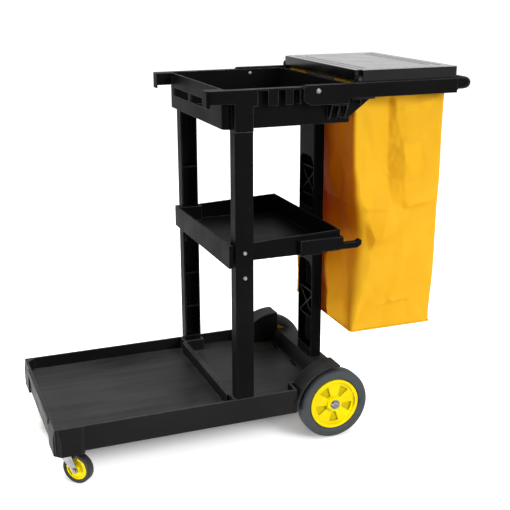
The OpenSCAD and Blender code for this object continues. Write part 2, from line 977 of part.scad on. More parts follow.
module tray_socket() {
    block([post_front, tub_half - tray_wall, post_top + seat_gap], [post_back, base_half, tray_z - eps]);
    block([post_front, post_inner, post_top + seat_gap], [post_back, base_half, tray_low + tray_floor_t / 2]);
}

module tray_socket_hole() {
    half = spigot_length / 2 + seat_gap;
    deep = top_spigot_depth / 2 + seat_gap;
    block(
        [post_x - half, top_spigot_y - deep, post_top - eps],
        [post_x + half, top_spigot_y + deep, post_top + spigot_height + seat_gap]
    );
}

module fin_outline() {
    low = arm_deep - gusset_drop + fin_foot;
    polygon([
        [tub_half - eps, low], [tub_half + fin_foot, low],
        [arm_outer - ledge_inset, arm_deep - ledge_t], [tub_half - eps, arm_deep - ledge_t]
    ]);
}

module gusset_outline() {
    back = arm_step_x + gusset_reach;
    low = arm_deep - gusset_drop + gusset_foot;
    polygon([
        [tub_back - gusset_web, low], [tub_back - gusset_foot, low],
        [back, arm_low - ledge_t], [back, arm_low - seat_gap], [tub_back - gusset_web, arm_low - seat_gap]
    ]);
}

module gusset() {
    back = arm_step_x + gusset_reach;
    outer = arm_outer - ledge_inset;
    rear_fin = arm_step_x + 1.5 * fin_pitch;
    block([ledge_start, tub_half - eps, arm_deep - ledge_t], [arm_step_x, outer, arm_deep - seat_gap]);
    block([arm_step_x + ledge_gap, tub_half - eps, arm_low - ledge_t], [back, outer, arm_low - seat_gap]);
    spread(tub_half - tray_wall, tub_half + tray_wall) gusset_outline();
    for (x = [ledge_start, arm_step_x - fin_pitch, arm_step_x - fin_t])
        pushed(x, x + fin_t) fin_outline();
    block([rear_fin, tub_half, arm_low - rear_fin_h], [rear_fin + fin_t, arm_inner + fin_foot, arm_low - eps]);
}

module top_tray() {
    color(black) from_front() difference() {
        union() {
            difference() {
                union() {
                    raised(tray_low, tray_z) tub_outline(0);
                    both_sides() horn();
                    both_sides() rim_side();
                    both_sides() tray_socket();
                    both_sides() gusset();
                }
                raised(tray_low + tray_floor_t, tray_z + eps) tub_outline(tray_wall);
            }
            both_sides() bar_y(pivot_x, pivot_z, pivot_boss, tub_half - tray_wall, arm_inner - side_gap);
        }
        both_sides() tray_socket_hole();
        both_sides() for (slot = rim_slots) rim_slot(post_back + slot[0], slot[1]);
        for (y = front_slots)
            block(
                [tub_front - eps, y, front_slot_z],
                [tub_front + tray_wall + eps, y + front_slot_length, front_slot_z + front_slot_h]
            );
        both_sides() translate([pivot_x, pivot_seat, pivot_z]) rotate([-90, 0, 0])
            cylinder(r = pivot_nut + seat_gap, h = arm_inner - pivot_seat, $fn = 6);
        for (y = [-1, 1])
            translate([tray_screw_x, y * rear_screw_y, tray_low + tray_floor_t])
                flat_screw_hole(tray_floor_t + eps);
    }
}

// REAR WHEELS

module rear_axle() {
    color(zinc) from_front() bar_y(wheel_x, wheel_z, axle_diameter / 2, -axle_half, axle_half);
}

module washer_y(y) {
    difference() {
        bar_y(wheel_x, wheel_z, washer_radius, y, y + washer_t);
        bar_y(wheel_x, wheel_z, axle_diameter / 2 + run_gap, y - eps, y + washer_t + eps);
    }
}

module axle_washers() {
    color(zinc) from_front() both_sides() {
        washer_y(axle_boss_out + seat_gap);
        washer_y(wheel_y + hub_half + seat_gap);
    }
}

module cap_profile() {
    start = wheel_y + hub_half + washer_t + 2 * seat_gap;
    polygon([
        [0, start], [cap_radius, start], [cap_radius, start + cap_edge],
        [cap_radius - cap_round, cap_end - eps], [cap_radius - 2 * cap_round, cap_end], [0, cap_end]
    ]);
}

module axle_caps() {
    color(zinc) from_front() both_sides() difference() {
        translate([wheel_x, 0, wheel_z]) rotate([-90, 0, 0]) rotate_extrude() cap_profile();
        bar_y(wheel_x, wheel_z, axle_diameter / 2 + run_gap, 0, axle_half + seat_gap);
    }
}

module at_wheel(side) {
    from_front() to_side(side) translate([wheel_x, wheel_y, wheel_z]) rotate([-90, 0, 0]) children();
}

// Shallow pocket between two spokes of the wheel's face
module hub_pocket() {
    intersection() {
        circle(pocket_out);
        polygon([
            [pocket_in, -pocket_nose], [pocket_in, pocket_nose],
            [2 * pocket_out, 2 * pocket_half], [2 * pocket_out, -2 * pocket_half]
        ]);
    }
}

module wheel_hub(side) {
    color(bright_yellow) at_wheel(side) difference() {
        union() {
            difference() {
                translate([0, 0, -rim_half]) cylinder(r = hub_radius, h = 2 * rim_half);
                translate([0, 0, -rim_half - eps]) cylinder(r = rim_inner, h = 2 * rim_half + 2 * eps);
            }
            translate([0, 0, web_low]) cylinder(r = rim_inner + eps, h = face_high - web_low);
            translate([0, 0, -hub_inward]) cylinder(r = hub_boss, h = hub_inward + hub_half);
        }
        for (k = [0 : spokes - 1])
            rotate([0, 0, 90 + k * 360 / spokes]) raised(web_high, face_high + eps) hub_pocket();
        translate([0, 0, -2 * hub_half]) cylinder(r = axle_diameter / 2 + run_gap, h = 4 * hub_half);
    }
}

module wheel_tyre(side) {
    middle = (wheel_z + hub_radius) / 2;
    color(tyre_grey) at_wheel(side)
        rotate_extrude($fn = 96) translate([middle, 0])
            round_rect(wheel_z - hub_radius, tyre_width, tyre_shoulder);
}

module left_wheel_hub() {
    wheel_hub(-1);
}

module left_wheel_tyre() {
    wheel_tyre(-1);
}

module right_wheel_hub() {
    wheel_hub(1);
}

module right_wheel_tyre() {
    wheel_tyre(1);
}

// CASTERS

module at_caster(side, turn) {
    from_front() translate([caster_x, side * caster_y, 0]) rotate([0, 0, turn]) children();
}

module caster_plate(side) {
    color(zinc) at_caster(side, 0) difference() {
        union() {
            raised(caster_top - plate_t, caster_top) round_rect(plate_size, plate_size, plate_radius);
            raised(caster_top - plate_t - race_h, caster_top - plate_t + eps) circle(race_radius);
        }
        translate([0, 0, crown_top]) cylinder(r = kingpin_radius + run_gap, h = caster_top);
        for (x = [-1, 1], y = [-1, 1])
            translate([x * plate_hole, y * plate_hole, caster_top - plate_t - eps])
                cylinder(r = screw_radius + side_gap, h = plate_t + 2 * eps);
    }
}

module caster_kingpin(side) {
    low = crown_top - crown_t - crown_gap;
    color(zinc) at_caster(side, 0) union() {
        raised(low - kingpin_head_h, kingpin_top) circle(kingpin_radius);
        raised(low - kingpin_head_h, low) circle(kingpin_head);
    }
}

module leg_outline() {
    polygon([
        [leg_inset - crown_radius, crown_top], [crown_radius - leg_flare, crown_top],
        [crown_radius + leg_flare, crown_top - leg_neck],
        [caster_trail + fork_foot, caster_r], [caster_trail - fork_foot, caster_r],
        [leg_inset - crown_radius, crown_top - leg_neck]
    ]);
    translate([caster_trail, caster_r]) circle(fork_foot);
}

module caster_fork(side, turn) {
    outer = fork_gap + fork_t;
    color(zinc) at_caster(side, turn) difference() {
        union() {
            intersection() {
                raised(crown_top - crown_t, crown_top) circle(crown_radius + crown_edge);
                block([-2 * crown_radius, -outer, 0], [2 * crown_radius, outer, crown_top]);
            }
            for (s = [-1, 1])
                to_side(s) spread(fork_gap, outer) leg_outline();
        }
        translate([0, 0, caster_r]) cylinder(r = kingpin_radius + run_gap, h = caster_top);
        bar_y(caster_trail, caster_r, caster_bolt_r, -2 * fork_gap, 2 * fork_gap);
    }
}

module caster_bolt(side, turn) {
    outer = fork_gap + fork_t;
    color(zinc) at_caster(side, turn) union() {
        bar_y(caster_trail, caster_r, caster_bolt_r, -outer - eps, outer + caster_bolt_end);
        translate([caster_trail, -outer - caster_head_h, caster_r]) rotate([-90, 0, 0])
            cylinder(r = caster_head_r, h = caster_head_h, $fn = 6);
    }
}

module caster_nut(side, turn) {
    outer = fork_gap + fork_t;
    color(zinc) at_caster(side, turn) difference() {
        translate([caster_trail, outer, caster_r]) rotate([-90, 0, 0])
            cylinder(r = caster_head_r, h = caster_head_h, $fn = 6);
        bar_y(caster_trail, caster_r, caster_bolt_r, 0, 2 * outer);
    }
}

module caster_hub(side, turn) {
    half = caster_width / 2;
    color(bright_yellow) at_caster(side, turn) difference() {
        union() {
            bar_y(caster_trail, caster_r, caster_hub_r, caster_hub_step - half, half - caster_hub_step);
            bar_y(caster_trail, caster_r, fork_foot, -fork_gap + seat_gap, fork_gap - seat_gap);
        }
        bar_y(caster_trail, caster_r, caster_bolt_r + run_gap, -fork_gap, fork_gap);
        for (s = [-1, 1])
            to_side(s) difference() {
                bar_y(caster_trail, caster_r, caster_hub_r - caster_rim, half - caster_dish, half);
                bar_y(caster_trail, caster_r, caster_boss, half - caster_dish - eps, half + eps);
            }
    }
}

module caster_tyre(side, turn) {
    middle = (caster_r + caster_hub_r) / 2;
    color(tyre_grey) at_caster(side, turn) translate([caster_trail, 0, caster_r]) rotate([-90, 0, 0])
        rotate_extrude() translate([middle, 0])
            round_rect(caster_r - caster_hub_r, caster_width, caster_round);
}

module left_caster_plate() {
    caster_plate(-1);
}

module left_caster_kingpin() {
    caster_kingpin(-1);
}

module left_caster_fork() {
    caster_fork(-1, left_caster_turn);
}

module left_caster_bolt() {
    caster_bolt(-1, left_caster_turn);
}

module left_caster_nut() {
    caster_nut(-1, left_caster_turn);
}

module left_caster_hub() {
    caster_hub(-1, left_caster_turn);
}

module left_caster_tyre() {
    caster_tyre(-1, left_caster_turn);
}

module right_caster_plate() {
    caster_plate(1);
}

module right_caster_kingpin() {
    caster_kingpin(1);
}

module right_caster_fork() {
    caster_fork(1, right_caster_turn);
}

module right_caster_bolt() {
    caster_bolt(1, right_caster_turn);
}

module right_caster_nut() {
    caster_nut(1, right_caster_turn);
}

module right_caster_hub() {
    caster_hub(1, right_caster_turn);
}

module right_caster_tyre() {
    caster_tyre(1, right_caster_turn);
}

// SCREWS

module caster_screws() {
    color(zinc) from_front() both_sides()
        for (x = [-1, 1], y = [-1, 1])
            translate([caster_x + x * plate_hole, caster_y + y * plate_hole, caster_top - plate_t])
                screw(plate_t + caster_bite);
}

module base_screws() {
    color(zinc) from_front() {
        both_sides() translate([post_x, base_half - post_depth / 2, base_low])
            screw(base_wall_h - spigot_height + screw_bite);
        for (y = [-1, 1])
            translate([rear_spigot_x, y * rear_screw_y, rim_z - rear_spigot_h - base_wall])
                screw(base_wall + screw_bite);
    }
}

module shelf_screws() {
    color(zinc) from_front() both_sides()
        for (z = [lower_screw_z, upper_screw_z])
            translate([post_x, base_half, z]) rotate([90, 0, 0]) screw(post_wall + side_bite);
}

module rear_post_screws() {
    color(zinc) from_front()
        for (y = [-1, 1])
            translate([counterbore_x, y * rear_screw_y, upper_screw_z]) rotate([0, -90, 0])
                screw(rear_post_depth + eps);
}

module tray_screws() {
    color(zinc) from_front()
        for (y = [-1, 1])
            translate([tray_screw_x, y * rear_screw_y, tray_low + tray_floor_t - seat_gap])
                rotate([180, 0, 0]) flat_screw(tray_floor_t + screw_bite);
}

module hook_screws() {
    color(zinc) from_front()
        for (x = hook_holes())
            translate([x, -shelf_half + tray_wall, hook_middle]) rotate([90, 0, 0])
                screw(tray_wall + hook_screw_in);
}

module handle_screws() {
    color(zinc) from_front() both_sides()
        translate([handle_screw_x, arm_inner, tongue_z + tongue_height / 2]) rotate([-90, 0, 0])
            screw(handle_bite);
}

// BAG FRAME

module pivot_bolts() {
    color(zinc) from_front() both_sides() {
        bar_y(pivot_x, pivot_z, pivot_diameter / 2, pivot_seat + seat_gap, arm_outer + eps);
        translate([pivot_x, arm_outer + side_gap, pivot_z]) rotate([-90, 0, 0])
            cylinder(r1 = pivot_head, r2 = pivot_head - pivot_head_taper, h = pivot_head_h - side_gap);
    }
}

module pivot_nuts() {
    color(zinc) from_front() both_sides() difference() {
        translate([pivot_x, pivot_seat + seat_gap, pivot_z]) rotate([-90, 0, 0])
            cylinder(r = pivot_nut, h = pivot_nut_h, $fn = 6);
        bar_y(pivot_x, pivot_z, pivot_diameter / 2, 0, arm_inner);
    }
}

module arm_outline() {
    polygon([
        [arm_start + arm_nose, arm_top], [arm_start, arm_top - arm_nose], [arm_start, arm_low],
        [arm_start + arm_slope, arm_deep], [arm_step_x, arm_deep],
        [arm_step_x, arm_low], [arm_end, arm_low], [arm_end, arm_top]
    ]);
}

// Hollow in the inner face of an arm
module arm_pocket(start, end) {
    block(
        [start, arm_inner - eps, arm_low + arm_wall],
        [end, arm_inner + pocket_depth, arm_top - arm_wall]
    );
}

module bag_arm(side) {
    slot_half = tongue_width / 2 + seat_gap;
    pitch = (pocket_end + arm_wall - pocket_start) / pockets;
    color(black) from_front() to_side(side) difference() {
        union() {
            spread(arm_inner, arm_outer) arm_outline();
            bar_y(hinge_x, hinge_z, lug_radius, lug_inner, lug_outer);
            block(
                [hinge_x - lug_radius, lug_inner, arm_top - lug_radius],
                [hinge_x + lug_radius, lug_outer, hinge_z]
            );
        }
        arm_pocket(pivot_x + fin_pitch, arm_step_x - 2 * arm_wall);
        for (k = [0 : pockets - 1])
            arm_pocket(pocket_start + k * pitch, pocket_start + (k + 1) * pitch - arm_wall);
        bar_y(pivot_x, pivot_z, pivot_diameter / 2 + run_gap, arm_inner - eps, arm_outer + eps);
        bar_y(hinge_x, hinge_z, hinge_diameter / 2, lug_inner - eps, lug_outer + eps);
        for (x = [front_rod_x, rear_rod_x])
            bar_y(x, rod_z, rod_diameter / 2, lug_inner - eps, rod_reach);
        block(
            [arm_end - tongue_length - seat_gap, tongue_y - slot_half, tongue_z - seat_gap],
            [arm_end + eps, tongue_y + slot_half, tongue_z + tongue_height + seat_gap]
        );
        bar_y(handle_screw_x, tongue_z + tongue_height / 2, screw_radius, arm_inner - eps, tongue_y);
    }
}

module left_bag_arm() {
    bag_arm(-1);
}

module right_bag_arm() {
    bag_arm(1);
}

module handle_end() {
    bend_x = handle_x - handle_bend;
    bend_y = handle_y - handle_bend;
    bar_x(handle_y, handle_z, handle_diameter / 2, arm_end + seat_gap, bend_x + join);
    translate([bend_x, bend_y, handle_z]) rotate_extrude(angle = 90)
        translate([handle_bend, 0]) circle(handle_diameter / 2);
    block(
        [arm_end - tongue_length, tongue_y - tongue_width / 2, tongue_z],
        [arm_end + tongue_root, tongue_y + tongue_width / 2, tongue_z + tongue_height]
    );
}

module rear_handle() {
    bend_y = handle_y - handle_bend;
    color(black) from_front() difference() {
        union() {
            both_sides() handle_end();
            bar_y(handle_x, handle_z, handle_diameter / 2, -bend_y, bend_y);
        }
        both_sides()
            bar_y(handle_screw_x, tongue_z + tongue_height / 2, screw_radius, arm_inner, arm_outer);
    }
}

module bag_rod(x) {
    reach = rod_reach - side_gap;
    bar_y(x, rod_z, rod_diameter / 2 - run_gap, -reach, reach);
}

module bag_front_rod() {
    color(zinc) from_front() bag_rod(front_rod_x);
}

module bag_rear_rod() {
    color(zinc) from_front() bag_rod(rear_rod_x);
}

module bag_slice(level, inset) {
    $fn = 32;
    translate([0, 0, level[0]]) linear_extrude(slice)
        round_rect_between(level[1] + inset, level[2] - inset, level[3] - inset, bag_radius - inset);
}

module bag_body(inset, lift) {
    for (k = [0, 1])
        hull() {
            translate([0, 0, k == 0 ? lift : 0]) bag_slice(bag_levels[k], inset);
            translate([0, 0, k == 1 && inset > 0 ? eps : 0]) bag_slice(bag_levels[k + 1], inset);
        }
}

module hem(x) {
    difference() {
        bar_y(x, rod_z, hem_radius, -hem_half + bag_radius, hem_half - bag_radius);
        bar_y(x, rod_z, rod_diameter / 2 + side_gap, -hem_half, hem_half);
    }
}

module bag() {
    color(bag_yellow) from_front() difference() {
        union() {
            difference() {
                bag_body(0, 0);
                bag_body(bag_wall, bag_wall);
            }
            hem(front_rod_x);
            hem(rear_rod_x);
        }
        for (x = [front_rod_x, rear_rod_x])
            bar_y(x, rod_z, rod_diameter / 2 + side_gap, -hem_half, hem_half);
        block([front_rod_x - 2 * hem_radius, -hem_slit, hem_slit_low], [front_rod_x, hem_slit, hem_slit_high]);
    }
}

module lid_outline(inset) {
    round_rect_between(lid_ear_end + inset, lid_back - inset, lid_half - inset, lid_radius - inset);
    translate([lid_ear_end + inset, -lid_half + inset])
        square([lid_radius + inset, 2 * (lid_half - inset)]);
    translate([lid_front + inset, -lid_ear_half + inset])
        square([lid_ear_end + lid_radius - lid_front, 2 * (lid_ear_half - inset)]);
}

module lid_rib_ring(inset) {
    inner = inset + lid_rib_w;
    raised(lid_top - eps, lid_top + lid_rib) difference() {
        round_rect_between(lid_front + inset, lid_back - inset, lid_half - inset, lid_radius);
        round_rect_between(lid_front + inner, lid_back - inner, lid_half - inner, lid_radius - lid_rib_w);
    }
}

module lid() {
    color(black) from_front() difference() {
        union() {
            difference() {
                raised(lid_low, lid_top) lid_outline(0);
                raised(lid_low - eps, lid_top - lid_wall) lid_outline(lid_wall);
                block([lid_front - eps, -lid_half, lid_low - eps], [lid_ear_end, lid_half, lid_front_low]);
            }
            both_sides() bar_y(hinge_x, hinge_z, lid_boss, lid_ear_half - lid_boss_w, lid_ear_half);
            for (inset = lid_rib_insets)
                lid_rib_ring(inset);
        }
        both_sides()
            bar_y(hinge_x, hinge_z, hinge_diameter / 2 + run_gap, lid_ear_half - lid_boss_w - eps, lid_half);
    }
}

module lid_hinge_pins() {
    color(zinc) from_front() both_sides() {
        bar_y(hinge_x, hinge_z, hinge_diameter / 2, lid_ear_half - pin_in, lug_outer);
        bar_y(hinge_x, hinge_z, hinge_diameter / 2 + pin_head, lug_outer, lug_outer + pin_head_h);
    }
}

base_platform();
left_front_post();
right_front_post();
rear_post();
middle_shelf();
shelf_tool_hook();
top_tray();
rear_axle();
axle_washers();
axle_caps();
left_wheel_hub();
left_wheel_tyre();
right_wheel_hub();
right_wheel_tyre();
left_caster_plate();
left_caster_kingpin();
left_caster_fork();
left_caster_bolt();
left_caster_nut();
left_caster_hub();
left_caster_tyre();
right_caster_plate();
right_caster_kingpin();
right_caster_fork();
right_caster_bolt();
right_caster_nut();
right_caster_hub();
right_caster_tyre();
caster_screws();
base_screws();
shelf_screws();
rear_post_screws();
tray_screws();
hook_screws();
pivot_bolts();
pivot_nuts();
left_bag_arm();
right_bag_arm();
rear_handle();
handle_screws();
bag_front_rod();
bag_rear_rod();
bag();
lid();
lid_hinge_pins();
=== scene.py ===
"""Janitor cart: finishes for the moulded and metal pieces, and the soft bag on its rods."""

import math

import bmesh
import bpy
from mathutils import Matrix, Vector, noise


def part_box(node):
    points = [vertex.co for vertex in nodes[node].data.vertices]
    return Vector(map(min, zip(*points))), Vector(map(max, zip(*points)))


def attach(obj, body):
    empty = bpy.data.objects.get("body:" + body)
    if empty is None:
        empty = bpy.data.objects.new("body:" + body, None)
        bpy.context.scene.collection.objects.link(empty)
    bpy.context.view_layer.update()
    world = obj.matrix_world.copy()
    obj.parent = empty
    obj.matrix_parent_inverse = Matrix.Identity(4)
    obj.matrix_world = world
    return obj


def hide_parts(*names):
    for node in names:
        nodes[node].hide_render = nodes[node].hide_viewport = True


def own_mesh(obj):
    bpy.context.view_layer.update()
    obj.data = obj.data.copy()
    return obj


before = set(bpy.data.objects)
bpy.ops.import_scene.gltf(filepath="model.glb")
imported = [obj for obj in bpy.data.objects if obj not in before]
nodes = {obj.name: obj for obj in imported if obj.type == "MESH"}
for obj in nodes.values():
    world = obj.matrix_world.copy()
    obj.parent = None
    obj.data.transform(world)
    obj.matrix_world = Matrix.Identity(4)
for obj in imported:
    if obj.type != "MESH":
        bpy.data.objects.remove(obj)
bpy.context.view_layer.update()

scene = bpy.context.scene

# Millimetres along the cart are counted from a point this far in front of its middle.
X_ORIGIN = 555.5


def at(x, y, z):
    """A place in millimetres along, across and above the floor, in the metres of the shared frame."""
    return Vector(((x - X_ORIGIN) / 1000, y / 1000, z / 1000))


# Materials

# Sockets of the mix node for colours, by number, because its sockets for numbers have the same names
MIX_COLOUR_A = 6
MIX_COLOUR_B = 7
MIX_COLOUR_RESULT = 2


class Graph:
    """A small helper that adds shader nodes and links them."""

    def __init__(self, name):
        self.material = bpy.data.materials.new(name)
        self.material.use_nodes = True
        self.tree = self.material.node_tree
        self.shader = self.tree.nodes["Principled BSDF"]
        coordinates = self.add("ShaderNodeTexCoord")
        self.place = coordinates.outputs["Object"]
        self.facing = coordinates.outputs["Normal"]

    def add(self, kind, **settings):
        node = self.tree.nodes.new(kind)
        for key, value in settings.items():
            setattr(node, key, value)
        return node

    def link(self, source, target):
        self.tree.links.new(source, target)

    def parts(self, vector):
        """The outputs X, Y and Z of a vector."""
        node = self.add("ShaderNodeSeparateXYZ")
        self.link(vector, node.inputs["Vector"])
        return node.outputs

    def stretched(self, scale):
        mapping = self.add("ShaderNodeMapping")
        mapping.inputs["Scale"].default_value = scale
        self.link(self.place, mapping.inputs["Vector"])
        return mapping.outputs["Vector"]

    def noise(self, scale, detail=2.0, rough=0.5, vector=None):
        node = self.add("ShaderNodeTexNoise")
        node.inputs["Scale"].default_value = scale
        node.inputs["Detail"].default_value = detail
        node.inputs["Roughness"].default_value = rough
        self.link(vector or self.place, node.inputs["Vector"])
        return node.outputs["Fac"]

    def bands(self, scale, direction, vector):
        node = self.add("ShaderNodeTexWave", wave_type="BANDS", bands_direction=direction)
        node.inputs["Scale"].default_value = scale
        self.link(vector, node.inputs["Vector"])
        return node.outputs["Fac"]

    def upward(self):
        """A mask that is 1 on faces that look up, where dust settles and a painted sheen goes."""
        return self.span(self.parts(self.facing)["Z"], 0.75, 0.97, 0, 1)

    def span(self, value, low, high, to_low, to_high):
        """A value between low and high, moved to its place between to_low and to_high."""
        node = self.add("ShaderNodeMapRange")
        self.link(value, node.inputs["Value"])
        ends = {"From Min": low, "From Max": high, "To Min": to_low, "To Max": to_high}
        for key, number in ends.items():
            node.inputs[key].default_value = number
        return node.outputs["Result"]

    def math(self, kind, a, b=0):
        node = self.add("ShaderNodeMath", operation=kind)
        for socket, value in zip(node.inputs, (a, b)):
            if isinstance(value, (int, float)):
                socket.default_value = value
            else:
                self.link(value, socket)
        return node.outputs["Value"]

    def mix(self, factor, a, b):
        """Colour a where the factor is 0, and colour b where it is 1."""
        node = self.add("ShaderNodeMix", data_type="RGBA")
        self.link(factor, node.inputs["Factor"])
        for number, value in ((MIX_COLOUR_A, a), (MIX_COLOUR_B, b)):
            socket = node.inputs[number]
            if isinstance(value, tuple):
                socket.default_value = (*value, 1)
            else:
                self.link(value, socket)
        return node.outputs[MIX_COLOUR_RESULT]

    def edges(self, radius):
        """The rounded normal of moulded edges, and a mask that is 1 along them."""
        bevel = self.add("ShaderNodeBevel", samples=6)
        bevel.inputs["Radius"].default_value = radius
        geometry = self.add("ShaderNodeNewGeometry")
        dot = self.add("ShaderNodeVectorMath", operation="DOT_PRODUCT")
        self.link(bevel.outputs["Normal"], dot.inputs[0])
        self.link(geometry.outputs["Normal"], dot.inputs[1])
        mask = self.span(dot.outputs["Value"], 0.995, 0.8, 0, 1)
        return bevel.outputs["Normal"], mask

    def bump(self, height, strength, distance, normal=None):
        node = self.add("ShaderNodeBump")
        node.inputs["Strength"].default_value = strength
        node.inputs["Distance"].default_value = distance
        self.link(height, node.inputs["Height"])
        if normal is not None:
            self.link(normal, node.inputs["Normal"])
        return node.outputs["Normal"]

    def finish(self, colour, roughness, normal, **sockets):
        self.link(colour, self.shader.inputs["Base Color"])
        self.link(roughness, self.shader.inputs["Roughness"])
        self.link(normal, self.shader.inputs["Normal"])
        for key, value in sockets.items():
            self.shader.inputs[key.replace("_", " ")].default_value = value
        return self.material


# Greys of scratches, of edges that are worn and carry a painted highlight, and of the painted sheen on the
# walls of ribs
SCRATCHED = 0.02
EDGE_WEAR_AND_HIGHLIGHT = 0.11
RIB_PAINTED_SHEEN = 0.7


def grey(level):
    """A grey with a trace of blue."""
    return (level, level, 1.03 * level)


def moulded_black(name, dark, dust_and_sheen_grey, smooth, rough, gloss, edge_size=0.0022, ribs_over=None):
    """Black moulded plastic with worn edges that carry a painted highlight, dust and a painted sheen where
    it looks up, and a painted sheen on the walls of ribs over a height.
    """
    g = Graph(name)
    rounded, edge = g.edges(edge_size)
    clouds = g.noise(5, detail=3)
    colour = g.mix(g.span(clouds, 0.35, 0.7, 0, 1), grey(dark), grey(1.7 * dark))
    scratches = g.noise(60, detail=4, rough=0.65, vector=g.stretched((0.25, 6, 3)))
    colour = g.mix(g.span(scratches, 0.66, 0.78, 0, 0.5), colour, grey(SCRATCHED))
    drawn_out = g.noise(20, detail=5, rough=0.65, vector=g.stretched((0.2, 2.2, 1)))
    streaks = g.math("ADD", g.noise(7, detail=5, rough=0.6), drawn_out)
    # Where it looks up, one pale grey is both dust and a painted sheen.
    dust = g.math("MULTIPLY", g.upward(), g.span(streaks, 0.75, 1.25, 0.35, 1.1))
    colour = g.mix(dust, colour, grey(dust_and_sheen_grey))
    # Along edges, one pale grey is both wear and a painted highlight.
    worn_and_highlit_edge = g.math("MULTIPLY", edge, g.span(g.noise(40, detail=3), 0.3, 0.7, 0.2, 1))
    colour = g.mix(worn_and_highlit_edge, colour, grey(EDGE_WEAR_AND_HIGHLIGHT))
    # Above a height, the walls of ribs are painted pale grey as a painted sheen.
    if ribs_over:
        over = g.span(g.parts(g.place)["Z"], ribs_over, ribs_over + 0.0001, 0, 0.9)
        painted_rib_sheen = g.math("MULTIPLY", over, g.math("SUBTRACT", 1, g.upward()))
        colour = g.mix(painted_rib_sheen, colour, grey(RIB_PAINTED_SHEEN))
    roughness = g.span(g.noise(14, detail=4), 0.3, 0.75, smooth, rough)
    normal = g.bump(g.noise(1100, rough=0.6), 0.1, 0.0003, rounded)
    return g.finish(colour, roughness, normal, Specular_IOR_Level=gloss)


def rubber(name, dark, pale):
    """Dull rubber with dust in its grain."""
    g = Graph(name)
    rounded, edge = g.edges(0.001)
    dust = g.noise(30, detail=4, rough=0.65)
    colour = g.mix(g.span(dust, 0.35, 0.75, 0, 1), dark, pale)
    colour = g.mix(g.math("MULTIPLY", edge, 0.4), colour, tuple(1.6 * v for v in pale))
    roughness = g.span(dust, 0.3, 0.7, 0.55, 0.75)
    normal = g.bump(g.noise(700, detail=3), 0.2, 0.0004, rounded)
    return g.finish(colour, roughness, normal, Specular_IOR_Level=0.35)


def wheel_yellow(name, pockets_within=None):
    """Yellow moulded plastic, with a painted shade that darkens the pockets that lie within a distance of
    the cart's middle.
    """
    g = Graph(name)
    rounded, edge = g.edges(0.0007)
    clouds = g.noise(12, detail=3)
    colour = g.mix(g.span(clouds, 0.35, 0.7, 0, 1), (0.75, 0.6, 0.001), (0.83, 0.68, 0.0018))
    if pockets_within:
        # Painted shade: the floors of the rear hubs' pockets are coloured a darker yellow.
        off_middle = g.math("ABSOLUTE", g.parts(g.place)["Y"])
        pocket = g.span(off_middle, pockets_within, pockets_within + 0.002, 0.8, 0)
        colour = g.mix(pocket, colour, (0.5, 0.4, 0.0006))
    colour = g.mix(g.math("MULTIPLY", edge, 0.3), colour, (0.86, 0.72, 0.01))
    roughness = g.span(g.noise(20, detail=4), 0.3, 0.7, 0.36, 0.5)
    normal = g.bump(g.noise(900), 0.08, 0.0004, rounded)
    return g.finish(colour, roughness, normal, Specular_IOR_Level=0.08)


def painted_steel():
    """Black paint with fine specks, worn a little along the edges."""
    g = Graph("black_painted_steel")
    rounded, edge = g.edges(0.0005)
    specks = g.noise(180, detail=4, rough=0.6)
    colour = g.mix(g.span(specks, 0.4, 0.7, 0, 1), (0.004, 0.004, 0.004), (0.009, 0.009, 0.009))
    colour = g.mix(g.math("MULTIPLY", edge, 0.5), colour, (0.05, 0.05, 0.05))
    roughness = g.span(specks, 0.3, 0.7, 0.3, 0.45)
    normal = g.bump(specks, 0.1, 0.0002, rounded)
    return g.finish(colour, roughness, normal, Specular_IOR_Level=0.35)


def zinc_steel(name, dark, pale, smooth, rough):
    """Zinc plated steel, spotted, with a finish brushed upright."""
    g = Graph(name)
    rounded, edge = g.edges(0.0006)
    brushed = g.noise(220, detail=3, rough=0.6, vector=g.stretched((1, 1, 0.1)))
    spots = g.noise(45, detail=4, rough=0.6)
    colour = g.mix(g.span(spots, 0.4, 0.7, 0, 1), grey(dark), grey(pale))
    colour = g.mix(g.math("MULTIPLY", edge, 0.4), colour, grey(1.1 * pale))
    roughness = g.span(brushed, 0.3, 0.7, smooth, rough)
    normal = g.bump(brushed, 0.1, 0.0002, rounded)
    return g.finish(colour, roughness, normal, Metallic=1.0)


WEAVE_SCALE = 260
SEE_THROUGH = 0.42


